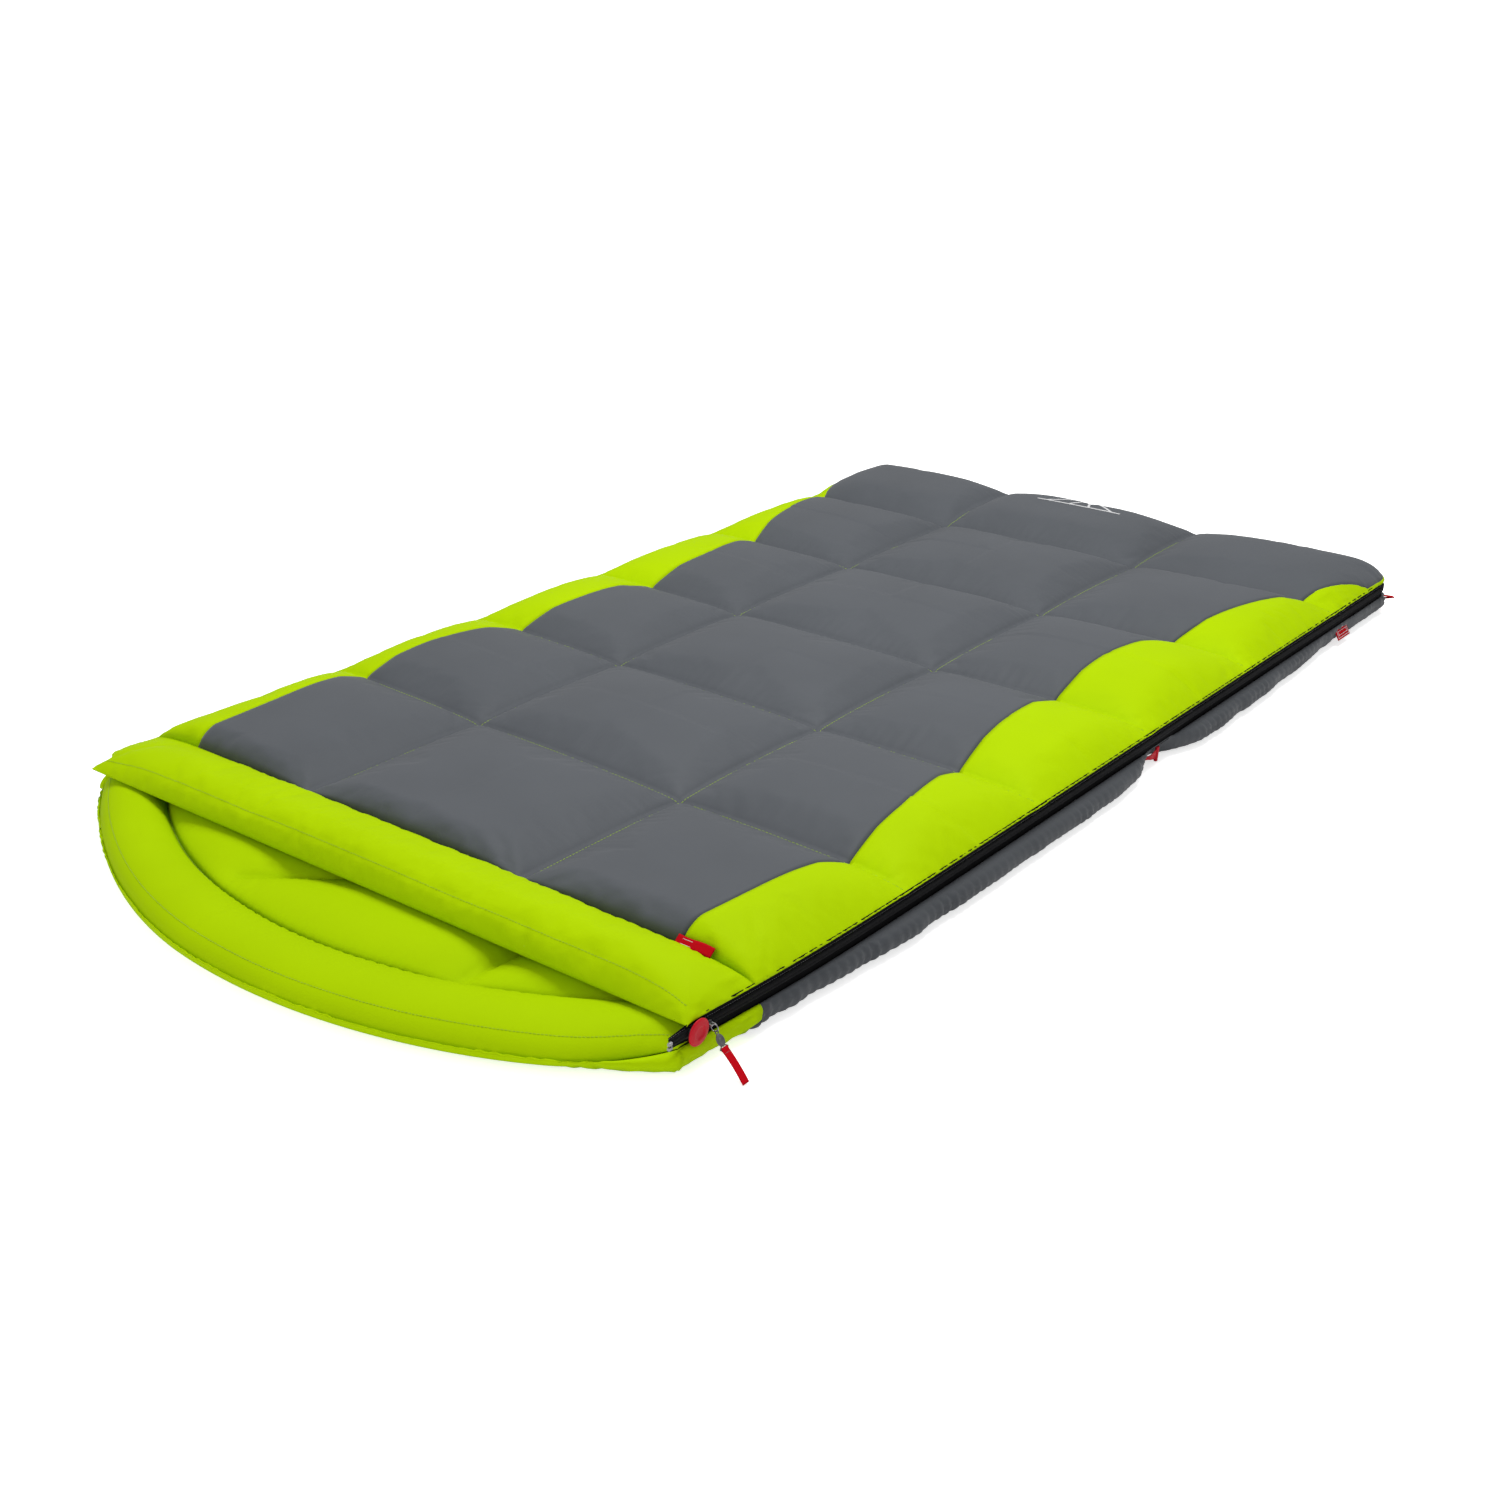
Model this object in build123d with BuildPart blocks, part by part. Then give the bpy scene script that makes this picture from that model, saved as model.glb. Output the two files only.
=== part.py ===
"""Rectangular sleeping bag: two quilted halves, joined along a fold side and zipped along the other.

Frame: +X towards the zip side, +Y towards the foot, +Z up.
The origin is on the ground at the centre of the bag.
The zip also runs round the foot.
The lower half ends in a half-moon hood at the mouth; the upper half ends in a straight padded cuff.
All sizes are in millimetres.
"""

import os
from math import cos, radians, sin, sqrt

from build123d import *

os.makedirs("parts", exist_ok=True)

# Driving dimensions of the bag
FOLD_X = -495.0  # fold side
WALL_X = 489.0  # outer face of the fabric on the zip side at the mouth; the zip stands in front of it
WALL_FLARE = 15.0  # the zip side stands this much further out at the foot
FOOT_Y = 1036.0
HOOD_Y = -1014.0
MOUTH_Y = -828.0  # front edge of the upper cuff, and the corners where the hood begins
CUFF_SEAM_Y = -706.0
CUFF_BAND = 90.0  # width of the padded band around the hood
FOOT_CORNER = 60.0  # plan radius of the corner where the zip turns
FOLD_CORNER = 25.0

# Thickness of each half
HALF_HEIGHT = 42.3
MID_Z = 45.0  # plane between the halves, and height of the fold
FABRIC = 2.0
EDGE_SLOPE_X = 12.0  # the inner edges slope back to leave room for the slider
EDGE_SLOPE_Z = 10.0
GROUND_ROUND = 7.0
SEAM_GAP = 0.4  # air between neighbouring sewn pieces

# Zip
TAPE_THICK = 1.2
TAPE_GAP = 0.1
TAPE_WIDTH = 18.0
COIL_THICK = 3.0
COIL_HEIGHT = 3.8
COIL_OFF_CENTRE = 0.8  # half the gap between the two coils
TAPE_OFF_CENTRE = 1.4
ZIP_START_Y = -818.0
ZIP_END_X = -430.0

# Slider and its pull
SLIDER_LENGTH = 30.0
SLIDER_HEIGHT = 15.0
SLIDER_START_Y = -780.0  # centre of the slider when the bag is shut
PLATE = 2.0
POST_LENGTH = 7.0
PLATE_ROUND = 4.0
EAR_BACK = 2.0  # the plate reaches forward under the staple as a small ear
EAR_LENGTH = 8.0
EAR_HEIGHT = 7.0
PLOW_RADIUS = 15.5  # round guard that keeps the fabric out of the slider
PLOW_RISE = 3.4
PLOW_BACK = 2.0
PLOW_SOFTNESS = 0.8
DIMPLE_RADIUS = 9.2
DIMPLE_DEPTH = 1.2
STAPLE_AHEAD = 17.0  # the staple that carries the pull, ahead of the slider's centre
STAPLE_OUT = 3.8
STAPLE_WIRE = 0.7  # wire radius
STAPLE_SPAN = 4.8
STAPLE_RISE = 1.0  # above the line between the halves
RING_RADIUS = 4.6
RING_WIRE = 0.6
PULL_LEAN = 35.0  # the link and the metal pull lean out from straight down by this angle at rest
PULL_LENGTH = 22.0
PULL_WIDTH = 13.0
RIBBON_LENGTH = 38.0
RIBBON_WIDTH = 10.0
RIBBON_THICK = 1.2
RIBBON_LEAN = 56.0
HINGE_SLACK = 0.15

# Panel boundary between the centre cloth and the side cloth: distance from the centre line along the bag
BOUNDARY = (
    (-706, 380),
    (-560, 410),
    (-415, 422),
    (-300, 412),
    (-135, 390),
    (155, 365),
    (305, 364),
    (440, 380),
    (740, 440),
    (860, 480),
    (940, 530),
)

# Small parts sewn along the zip, and their heights above the ground
TOGGLE_Y = 184.0
TOGGLE_Z = 13.6
TOGGLE_STRAP = 19.0
TOGGLE_NARROW = 6.0
TOGGLE_WIDE = 15.0
TOGGLE_WEB = 1.6
TOGGLE_BAR = 23.0
TOGGLE_RADIUS = 2.6
BAR_SOFTNESS = 0.6
SEW_Z = 23.0  # height of the foot loop, just under the lower tape
LABEL_Y = 820.0
LABEL_TOP_Z = 28.0
LABEL_WIDTH = 44.0
LABEL_DROP = 20.0
LABEL_LEAN = 30.0
LABEL_THICK = 1.6
CORNER_ANGLE = 35.0  # the loop stands on the foot corner, this far round from straight out
CORNER_LOOP = 26.0
LOOP_WIDTH = 8.0
LOOP_THICK = 3.2
LOOP_WEB = 1.0
CUFF_LABEL_WIDTH = 46.0
CUFF_LABEL_DROP = 13.0
CUFF_LABEL_X = 428.0
CUFF_LABEL_BACK = 6.0  # from the cuff seam to the sewn edge of the tag
CUFF_LABEL_THICK = 1.0
CUFF_LABEL_LIFT = 0.3  # air between the cuff and the tag
LABEL_OUT = 2.2  # the side tag hangs this far in front of the wall


def wall_x(y):
    """Outer face of the fabric on the zip side at y."""
    return WALL_X + WALL_FLARE * (y - MOUTH_Y) / (FOOT_Y - MOUTH_Y)


hood_radius = (WALL_X**2 + (MOUTH_Y - HOOD_Y) ** 2) / (2 * (MOUTH_Y - HOOD_Y))
hood_centre_y = HOOD_Y + hood_radius
seam_radius = hood_radius - CUFF_BAND


def hood_y(x, radius):
    """Height along Y of the hood circle of that radius at x."""
    return hood_centre_y - sqrt(radius**2 - x**2)


def finish(shape, name):
    """Labels a finished piece and writes it as its own STEP file."""
    shape.label = name
    export_step(shape, f"parts/{name}.step")


def round_foot(plan, inset):
    """Rounds the two foot corners of an outline: wide where the zip turns, tight at the fold."""
    fillet(plan.vertices().group_by(Axis.Y)[-1].sort_by(Axis.X)[-1], FOOT_CORNER - inset)
    fillet(plan.vertices().group_by(Axis.Y)[-1].sort_by(Axis.X)[0], FOLD_CORNER - inset)


def lower_outline(inset):
    """Lower half in plan, from the hood seam to the foot."""
    radius = seam_radius - inset
    foot, left = FOOT_Y - inset, FOLD_X + inset
    start_x = wall_x(hood_y(WALL_X - inset, radius)) - inset
    start_right, start_left = (start_x, hood_y(start_x, radius)), (left, hood_y(left, radius))
    with BuildSketch() as plan:
        with BuildLine():
            Polyline(start_right, (wall_x(foot) - inset, foot), (left, foot), start_left)
            ThreePointArc(start_left, (0, hood_y(0, radius)), start_right)
        make_face()
        round_foot(plan, inset)
    return plan.sketch


def hood_outline(inset):
    """Padded band around the hood in plan, between the seam circle and the edge circle."""
    inner, outer = seam_radius + SEAM_GAP + inset, hood_radius - inset
    right, left = WALL_X - inset, FOLD_X + inset
    with BuildSketch() as plan:
        with BuildLine():
            ThreePointArc((left, hood_y(left, outer)), (0, hood_y(0, outer)), (right, hood_y(right, outer)))
            Line((right, hood_y(right, outer)), (right, hood_y(right, inner)))
            ThreePointArc((right, hood_y(right, inner)), (0, hood_y(0, inner)), (left, hood_y(left, inner)))
            Line((left, hood_y(left, inner)), (left, hood_y(left, outer)))
        make_face()
    return plan.sketch


def upper_outline(inset):
    """Upper half in plan, from the cuff seam to the foot."""
    front, foot, left = CUFF_SEAM_Y + inset, FOOT_Y - inset, FOLD_X + inset
    with BuildSketch() as plan:
        with BuildLine():
            Polyline(
                (wall_x(front) - inset, front),
                (wall_x(foot) - inset, foot),
                (left, foot),
                (left, front),
                close=True,
            )
        make_face()
        round_foot(plan, inset)
    return plan.sketch


def cuff_outline(inset):
    """Straight upper cuff in plan."""
    front, behind, left = MOUTH_Y + inset, CUFF_SEAM_Y - SEAM_GAP - inset, FOLD_X + inset
    with BuildSketch() as plan:
        with BuildLine():
            Polyline(
                (left, front),
                (wall_x(front) - inset, front),
                (wall_x(behind) - inset, behind),
                (left, behind),
                close=True,
            )
        make_face()
    return plan.sketch


def pad(outline, inset):
    """Solid pad on the ground: rounded underneath, sloping at the top edges, inset all round."""
    with BuildPart() as body:
        with BuildSketch(Plane.XY.offset(inset)):
            add(outline(inset))
        extrude(amount=HALF_HEIGHT - 2 * inset)
        top_face = body.faces().sort_by(Axis.Z)[-1]
        chamfer(top_face.edges(), length=EDGE_SLOPE_Z, length2=EDGE_SLOPE_X, reference=top_face)
        fillet(body.faces().sort_by(Axis.Z)[0].edges(), GROUND_ROUND - inset)
    return body.part


def split_skin(outline):
    """Outer cloth, lining and filling of one pad, as three solids."""
    rim = HALF_HEIGHT - EDGE_SLOPE_Z
    with BuildPart() as skin:
        add(pad(outline, 0))
        add(pad(outline, FABRIC), mode=Mode.SUBTRACT)
    with BuildPart() as outer:
        add(skin.part)
        split(bisect_by=Plane.XY.offset(rim), keep=Keep.BOTTOM)
    with BuildPart() as lining:
        add(skin.part)
        split(bisect_by=Plane.XY.offset(rim + SEAM_GAP / 4), keep=Keep.TOP)
    return outer.part, lining.part, pad(outline, FABRIC + SEAM_GAP)


def flip_up(shape):
    """Mirrors a ground pad into the upper half."""
    with BuildPart() as upper:
        mirror(shape, about=Plane.XY.offset(MID_Z))
    return upper.part


# Lower half
shell, lining, filling = split_skin(lower_outline)
finish(shell, "bottom_outer_shell")
finish(lining, "bottom_liner")
finish(filling, "bottom_fill")

shell, lining, filling = split_skin(hood_outline)
finish(shell, "hood_cuff_outer")
finish(lining, "hood_cuff_inner")
finish(filling, "hood_cuff_fill")

# Upper half: the outer cloth is cut into a centre panel and two side panels
shell, lining, filling = split_skin(upper_outline)
shell, lining, filling = flip_up(shell), flip_up(lining), flip_up(filling)
finish(lining, "top_liner")
finish(filling, "top_fill")

OVERRUN = 200.0
with BuildPart() as centre_cutter:
    with BuildSketch():
        with BuildLine():
            right = [(x, y) for y, x in BOUNDARY]
            left = [(-x, y) for y, x in BOUNDARY]
            Line((left[0][0], CUFF_SEAM_Y - OVERRUN), (right[0][0], CUFF_SEAM_Y - OVERRUN))
            Line((right[0][0], CUFF_SEAM_Y - OVERRUN), right[0])
            Spline(*right)
            Line(right[-1], (right[-1][0], FOOT_Y + OVERRUN))
            Line((right[-1][0], FOOT_Y + OVERRUN), (left[-1][0], FOOT_Y + OVERRUN))
            Line((left[-1][0], FOOT_Y + OVERRUN), left[-1])
            Spline(*left)
            Line(left[0], (left[0][0], CUFF_SEAM_Y - OVERRUN))
        make_face()
    extrude(amount=OVERRUN)

with BuildPart() as top_centre:
    add(shell)
    add(centre_cutter.part, mode=Mode.INTERSECT)
finish(top_centre.part, "top_centre_panel")

with BuildPart() as top_sides:
    add(shell)
    add(centre_cutter.part, mode=Mode.SUBTRACT)
sides = top_sides.part.solids().sort_by(Axis.X)
finish(sides[0], "top_side_panel_fold")
finish(sides[-1], "top_side_panel_zip")

shell, lining, filling = split_skin(cuff_outline)
finish(flip_up(shell), "top_cuff_outer")
finish(flip_up(lining), "top_cuff_inner")
finish(flip_up(filling), "top_cuff_fill")


def zip_strip(inner_offset, thickness, z_low, z_high, name):
    """A band that follows the zip line: along the side, round the foot corner and across the foot."""
    near, far = inner_offset, inner_offset + thickness
    with BuildPart() as strip:
        with BuildSketch(Plane.XY.offset(z_low)) as band:
            with BuildLine():
                Polyline(
                    (wall_x(ZIP_START_Y) + near, ZIP_START_Y),
                    (wall_x(ZIP_START_Y) + far, ZIP_START_Y),
                    (wall_x(FOOT_Y + far) + far, FOOT_Y + far),
                    (ZIP_END_X, FOOT_Y + far),
                    (ZIP_END_X, FOOT_Y + near),
                    (wall_x(FOOT_Y + near) + near, FOOT_Y + near),
                    close=True,
                )
            make_face()
            for out in (far, near):
                corner = wall_x(FOOT_Y + out) + out, FOOT_Y + out
                fillet(band.vertices().sort_by_distance((corner[0], corner[1], z_low))[0], FOOT_CORNER + out)
        extrude(amount=z_high - z_low)
    finish(strip.part, name)


# Zip tapes and coils
coil_from = TAPE_GAP + TAPE_THICK + TAPE_GAP
tape_low, tape_high = MID_Z - TAPE_OFF_CENTRE, MID_Z + TAPE_OFF_CENTRE
coil_low, coil_high = MID_Z - COIL_OFF_CENTRE, MID_Z + COIL_OFF_CENTRE
zip_strip(TAPE_GAP, TAPE_THICK, tape_low - TAPE_WIDTH, tape_low, "lower_zip_tape")
zip_strip(TAPE_GAP, TAPE_THICK, tape_high, tape_high + TAPE_WIDTH, "upper_zip_tape")
zip_strip(coil_from, COIL_THICK, coil_low - COIL_HEIGHT, coil_low, "lower_zip_coil")
zip_strip(coil_from, COIL_THICK, coil_high, coil_high + COIL_HEIGHT, "upper_zip_coil")

# Zip end fittings: crimped stops at the mouth, and the retainer box and pin at the end of the foot
STOP_LENGTH = 5.0
EDGE_ROUND = 0.8
stop_y = ZIP_START_Y - STOP_LENGTH / 2 - SEAM_GAP
stop_x = wall_x(stop_y) + coil_from + COIL_THICK / 2
for side_sign, name in ((-1, "lower_zip_stop"), (1, "upper_zip_stop")):
    with BuildPart() as stop:
        z_centre = MID_Z + side_sign * (COIL_OFF_CENTRE + COIL_HEIGHT / 2)
        with Locations((stop_x, stop_y, z_centre)):
            Box(COIL_THICK, STOP_LENGTH, COIL_HEIGHT)
        fillet(stop.edges().filter_by(Axis.Y), EDGE_ROUND)
    finish(stop.part, name)

BOX_LENGTH = 12.0
BOX_HEIGHT = 4.0
BOX_DROP = 3.0  # middle of the retainer box below the line between the halves
PIN_THICK = 2.0
PIN_HEIGHT = 2.4
PIN_RISE = 2.2
PIN_ROUND = 0.6
end_x = ZIP_END_X - BOX_LENGTH / 2 - SEAM_GAP
end_y = FOOT_Y + coil_from + COIL_THICK / 2
with BuildPart() as retainer_box:
    with Locations((end_x, end_y, MID_Z - BOX_DROP)):
        Box(BOX_LENGTH, COIL_THICK, BOX_HEIGHT)
    fillet(retainer_box.edges().filter_by(Axis.Z), EDGE_ROUND)
finish(retainer_box.part, "zip_retainer_box")
with BuildPart() as insert_pin:
    with Locations((end_x, end_y, MID_Z + PIN_RISE)):
        Box(BOX_LENGTH, PIN_THICK, PIN_HEIGHT)
    fillet(insert_pin.edges().filter_by(Axis.X), PIN_ROUND)
finish(insert_pin.part, "zip_insert_pin")

# Draft tube: a flat padded flap behind the zip, in the thin space between the halves
TUBE_WIDTH = 62.0
TUBE_THICK = 4.4
TUBE_SKIN = 0.7
TUBE_X = 441.0
TUBE_CORE_GAP = 0.2
TUBE_FRONT = 30.0  # from the cuff seam to the start of the tube
TUBE_BACK = 40.0  # from the end of the tube to where the foot corner begins
TUBE_START_Y = CUFF_SEAM_Y + TUBE_FRONT
TUBE_LENGTH = FOOT_Y - FOOT_CORNER - TUBE_BACK - TUBE_START_Y
tube_plane = Plane(origin=(TUBE_X, TUBE_START_Y, MID_Z), x_dir=(1, 0, 0), z_dir=(0, 1, 0))
with BuildPart() as draft_tube:
    with BuildSketch(tube_plane):
        SlotOverall(TUBE_WIDTH, TUBE_THICK)
        SlotOverall(TUBE_WIDTH - 2 * TUBE_SKIN, TUBE_THICK - 2 * TUBE_SKIN, mode=Mode.SUBTRACT)
    extrude(amount=TUBE_LENGTH)
finish(draft_tube.part, "draft_tube_shell")
with BuildPart() as draft_core:
    with BuildSketch(tube_plane):
        SlotOverall(TUBE_WIDTH - 2 * TUBE_SKIN - TUBE_CORE_GAP, TUBE_THICK - 2 * TUBE_SKIN - TUBE_CORE_GAP)
    extrude(amount=TUBE_LENGTH)
finish(draft_core.part, "draft_tube_fill")

# Slider: a back plate behind the tapes and a front plate over the coils, joined by a post between the coils
slider_wall = wall_x(SLIDER_START_Y)
front_x = slider_wall + coil_from + COIL_THICK + SEAM_GAP
back_x = slider_wall - SEAM_GAP
staple_y = SLIDER_START_Y + STAPLE_AHEAD
staple_z = MID_Z + STAPLE_RISE
with BuildPart() as slider_body:
    with Locations((back_x - PLATE / 2, SLIDER_START_Y, MID_Z), (front_x + PLATE / 2, SLIDER_START_Y, MID_Z)):
        Box(PLATE, SLIDER_LENGTH, SLIDER_HEIGHT)
    fillet(slider_body.edges().filter_by(Axis.X), PLATE_ROUND)
    with Locations(((back_x + front_x) / 2, SLIDER_START_Y, MID_Z)):
        Box(front_x - back_x, POST_LENGTH, 2 * COIL_OFF_CENTRE - SEAM_GAP)
    with Locations((front_x + PLATE / 2, staple_y - EAR_BACK, staple_z)):
        Box(PLATE, EAR_LENGTH, EAR_HEIGHT)
finish(slider_body.part, "slider_body")

plow_x = front_x + PLATE + SEAM_GAP / 4
plow_y = SLIDER_START_Y - PLOW_BACK
with BuildPart() as plow_guard:
    with BuildSketch(Plane(origin=(plow_x, plow_y, MID_Z), z_dir=(1, 0, 0))):
        Circle(PLOW_RADIUS)
    extrude(amount=PLOW_RISE)
    fillet(plow_guard.faces().sort_by(Axis.X)[-1].edges(), PLOW_RISE * PLOW_SOFTNESS)
    with Locations((plow_x + PLOW_RISE + DIMPLE_RADIUS - DIMPLE_DEPTH, plow_y, MID_Z)):
        Sphere(DIMPLE_RADIUS, mode=Mode.SUBTRACT)
finish(plow_guard.part, "plow_guard")

# Staple on the slider that the pull hangs from
staple_x = front_x + PLATE + STAPLE_OUT
leg_length = STAPLE_OUT + STAPLE_WIRE - SEAM_GAP / 4
with BuildPart() as staple:
    for end in (-1, 1):
        with Locations((staple_x + STAPLE_WIRE - leg_length / 2, staple_y + end * STAPLE_SPAN / 2, staple_z)):
            Box(leg_length, 2 * STAPLE_WIRE, 2 * STAPLE_WIRE)
    with Locations(Location((staple_x, staple_y, staple_z), (90, 0, 0))):
        Cylinder(STAPLE_WIRE, STAPLE_SPAN)
finish(staple.part, "slider_staple")


def hanging(start, lean):
    """Plane at a hinge point whose X axis runs down the hanging part and whose Z axis faces outwards."""
    down = (sin(radians(lean)), 0, -cos(radians(lean)))
    outward = (cos(radians(lean)), 0, sin(radians(lean)))
    return Plane(origin=start, x_dir=down, z_dir=outward)


def below(start, lean, length):
    """Point that far down a hanging part."""
    return (start[0] + length * sin(radians(lean)), start[1], start[2] - length * cos(radians(lean)))


# Link ring, metal pull and woven ribbon
PULL_THICK = 1.2
EYE_OUTER = 2.5
EYE_HOLE = 1.5
BAIL_LENGTH = 5.6
BAIL_CENTRE = 0.6  # the frame of the bail sits this far back from the middle of its slot
BAIL_ROUND = 1.2
SLOT_WIDTH = 2.4
SLOT_SLACK = 0.4
BAIL_BACK = 4.0  # from the end of the pull back to the middle of its bail
RIBBON_START = 3.2  # from the middle of the bail to the folded end of the ribbon
ring_drop = RING_RADIUS - RING_WIRE - STAPLE_WIRE - HINGE_SLACK
link_top = (staple_x, staple_y, staple_z)
ring_centre = below(link_top, PULL_LEAN, ring_drop)
pull_top = below(ring_centre, PULL_LEAN, RING_RADIUS)
ribbon_top = below(pull_top, PULL_LEAN, PULL_LENGTH - BAIL_BACK)
with BuildPart() as pull_link:
    with Locations(Location(ring_centre, (90, 0, 0))):
        Torus(RING_RADIUS, RING_WIRE)
finish(pull_link.part, "pull_link")

with BuildPart() as metal_pull:
    with BuildSketch(hanging(pull_top, PULL_LEAN).offset(-PULL_THICK / 2)):
        with Locations((PULL_LENGTH / 2, 0)):
            Ellipse(PULL_LENGTH / 2 - BAIL_BACK / 2, PULL_WIDTH / 2)
        with Locations((PULL_LENGTH - BAIL_BACK - BAIL_CENTRE, 0)):
            RectangleRounded(BAIL_LENGTH, PULL_WIDTH, BAIL_ROUND)
        Circle(EYE_OUTER)
        Circle(EYE_HOLE, mode=Mode.SUBTRACT)
        with Locations((PULL_LENGTH - BAIL_BACK, 0)):
            Rectangle(SLOT_WIDTH, RIBBON_WIDTH - SLOT_SLACK, mode=Mode.SUBTRACT)
    extrude(amount=PULL_THICK)
finish(metal_pull.part, "metal_pull")

with BuildPart() as ribbon_pull:
    with BuildSketch(hanging(ribbon_top, RIBBON_LEAN).offset(-RIBBON_THICK / 2)):
        with Locations((RIBBON_LENGTH / 2 + RIBBON_START, 0)):
            Rectangle(RIBBON_LENGTH, RIBBON_WIDTH)
    extrude(amount=RIBBON_THICK)
finish(ribbon_pull.part, "ribbon_pull")

# Toggle: a web that widens from its sewn end to a crossbar, lying along the wall and pointing to the foot
bar_y = TOGGLE_Y + TOGGLE_STRAP + TOGGLE_RADIUS + SEAM_GAP / 4
toggle_x = wall_x(bar_y) + SEAM_GAP + TOGGLE_RADIUS
strap_start = (toggle_x - TOGGLE_WEB / 2, TOGGLE_Y, TOGGLE_Z)
with BuildPart() as toggle_strap:
    with BuildSketch(Plane(origin=strap_start, x_dir=(0, 1, 0), z_dir=(1, 0, 0))):
        with BuildLine():
            Polyline(
                (0, -TOGGLE_NARROW / 2),
                (TOGGLE_STRAP, -TOGGLE_WIDE / 2),
                (TOGGLE_STRAP, TOGGLE_WIDE / 2),
                (0, TOGGLE_NARROW / 2),
                close=True,
            )
        make_face()
    extrude(amount=TOGGLE_WEB)
finish(toggle_strap.part, "toggle_strap")
with BuildPart() as toggle_bar:
    with Locations((toggle_x, bar_y, TOGGLE_Z)):
        Cylinder(TOGGLE_RADIUS, TOGGLE_BAR)
    fillet(toggle_bar.edges().filter_by(GeomType.CIRCLE), TOGGLE_RADIUS * BAR_SOFTNESS)
finish(toggle_bar.part, "toggle_bar")

# Webbing loop folded double, standing out from the foot corner
outward = Vector(cos(radians(CORNER_ANGLE)), sin(radians(CORNER_ANGLE)), 0)
corner_centre = Vector(wall_x(FOOT_Y - FOOT_CORNER) - FOOT_CORNER, FOOT_Y - FOOT_CORNER, SEW_Z)
loop_middle = corner_centre + outward * (FOOT_CORNER + SEAM_GAP + CORNER_LOOP / 2)
with BuildPart() as foot_loop:
    with BuildSketch(Plane(origin=loop_middle, x_dir=outward, z_dir=outward.rotate(Axis.Z, -90))):
        SlotOverall(CORNER_LOOP, LOOP_THICK)
        SlotOverall(CORNER_LOOP - 2 * LOOP_WEB, LOOP_THICK - 2 * LOOP_WEB, mode=Mode.SUBTRACT)
    extrude(amount=LOOP_WIDTH / 2, both=True)
finish(foot_loop.part, "foot_loop")

# Plain sewn tags: one hanging under the zip near the foot, one lying on the seam of the upper cuff
label_top = (wall_x(LABEL_Y) + LABEL_OUT, LABEL_Y, LABEL_TOP_Z)
with BuildPart() as side_label:
    with BuildSketch(hanging(label_top, LABEL_LEAN).offset(-LABEL_THICK / 2)):
        with Locations((LABEL_DROP / 2, 0)):
            Rectangle(LABEL_DROP, LABEL_WIDTH)
    extrude(amount=LABEL_THICK)
finish(side_label.part, "side_label")
cuff_label_y = CUFF_SEAM_Y - CUFF_LABEL_BACK - CUFF_LABEL_DROP / 2
cuff_label_z = 2 * MID_Z + CUFF_LABEL_LIFT + CUFF_LABEL_THICK / 2
with BuildPart() as cuff_label:
    with Locations((CUFF_LABEL_X, cuff_label_y, cuff_label_z)):
        Box(CUFF_LABEL_WIDTH, CUFF_LABEL_DROP, CUFF_LABEL_THICK)
finish(cuff_label.part, "cuff_label")
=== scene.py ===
"""Looks of the rectangular sleeping bag: quilted cloth, zip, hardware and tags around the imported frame.

Frame: metres, +X towards the zip side, +Y towards the foot, +Z up.
"""

import math

import bmesh
import bpy
import numpy as np
from mathutils import Matrix, Vector


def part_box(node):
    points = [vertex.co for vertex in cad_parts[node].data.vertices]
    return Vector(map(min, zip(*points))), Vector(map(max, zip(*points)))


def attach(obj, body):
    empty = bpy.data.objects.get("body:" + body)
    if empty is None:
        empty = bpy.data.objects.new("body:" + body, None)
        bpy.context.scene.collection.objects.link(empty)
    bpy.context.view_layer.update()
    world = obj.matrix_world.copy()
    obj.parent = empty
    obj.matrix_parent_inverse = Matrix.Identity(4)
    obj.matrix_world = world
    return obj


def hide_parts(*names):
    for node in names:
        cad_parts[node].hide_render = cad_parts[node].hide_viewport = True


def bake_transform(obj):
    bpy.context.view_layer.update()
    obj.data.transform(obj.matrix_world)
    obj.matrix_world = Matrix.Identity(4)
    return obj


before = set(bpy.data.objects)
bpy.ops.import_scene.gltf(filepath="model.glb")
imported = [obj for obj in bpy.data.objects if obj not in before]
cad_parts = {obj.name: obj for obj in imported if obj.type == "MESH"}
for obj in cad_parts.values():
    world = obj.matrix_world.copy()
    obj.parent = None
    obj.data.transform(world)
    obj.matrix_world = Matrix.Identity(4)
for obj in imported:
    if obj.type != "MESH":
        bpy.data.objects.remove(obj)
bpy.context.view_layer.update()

# ------------------------------------------------ sizes taken from the frame
FOLD_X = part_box("top_liner")[0].x
MOUTH_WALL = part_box("hood_cuff_inner")[1].x  # zip side at the mouth
ZIP_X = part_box("top_liner")[1].x + 0.0012  # zip side along the bag
FOOT_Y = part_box("top_liner")[1].y
CUFF_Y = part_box("top_liner")[0].y
MOUTH_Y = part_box("top_cuff_outer")[0].y
HOOD_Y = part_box("hood_cuff_outer")[0].y
MID_Z = (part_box("lower_zip_coil")[1].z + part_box("upper_zip_coil")[0].z) / 2
ZIP_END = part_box("upper_zip_tape")[0].x
ZIP_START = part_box("upper_zip_tape")[0].y

# ------------------------------------------------ shape of the quilting
SEAMS_X = (-0.184, 0.176)  # sewn lines along the bag
SEAMS_Y = (-0.4205, -0.1245, 0.1654, 0.4761, 0.7838)  # sewn lines across the bag
CORNER = 0.055  # plan radius of the foot corners
MOUTH_SKEW = 0.075  # the cuff runs slightly aslant
SEAM_SKEW = 0.06
CUFF_TRIM = 0.016  # the sewn line behind the cuff lies this far in front of the lining's
HOOD_LEAN = 0.04
HOOD_BACK = 0.006
HOOD_BAND = 0.084
CLOTH = 0.0011
STEP = 0.0052

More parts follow.
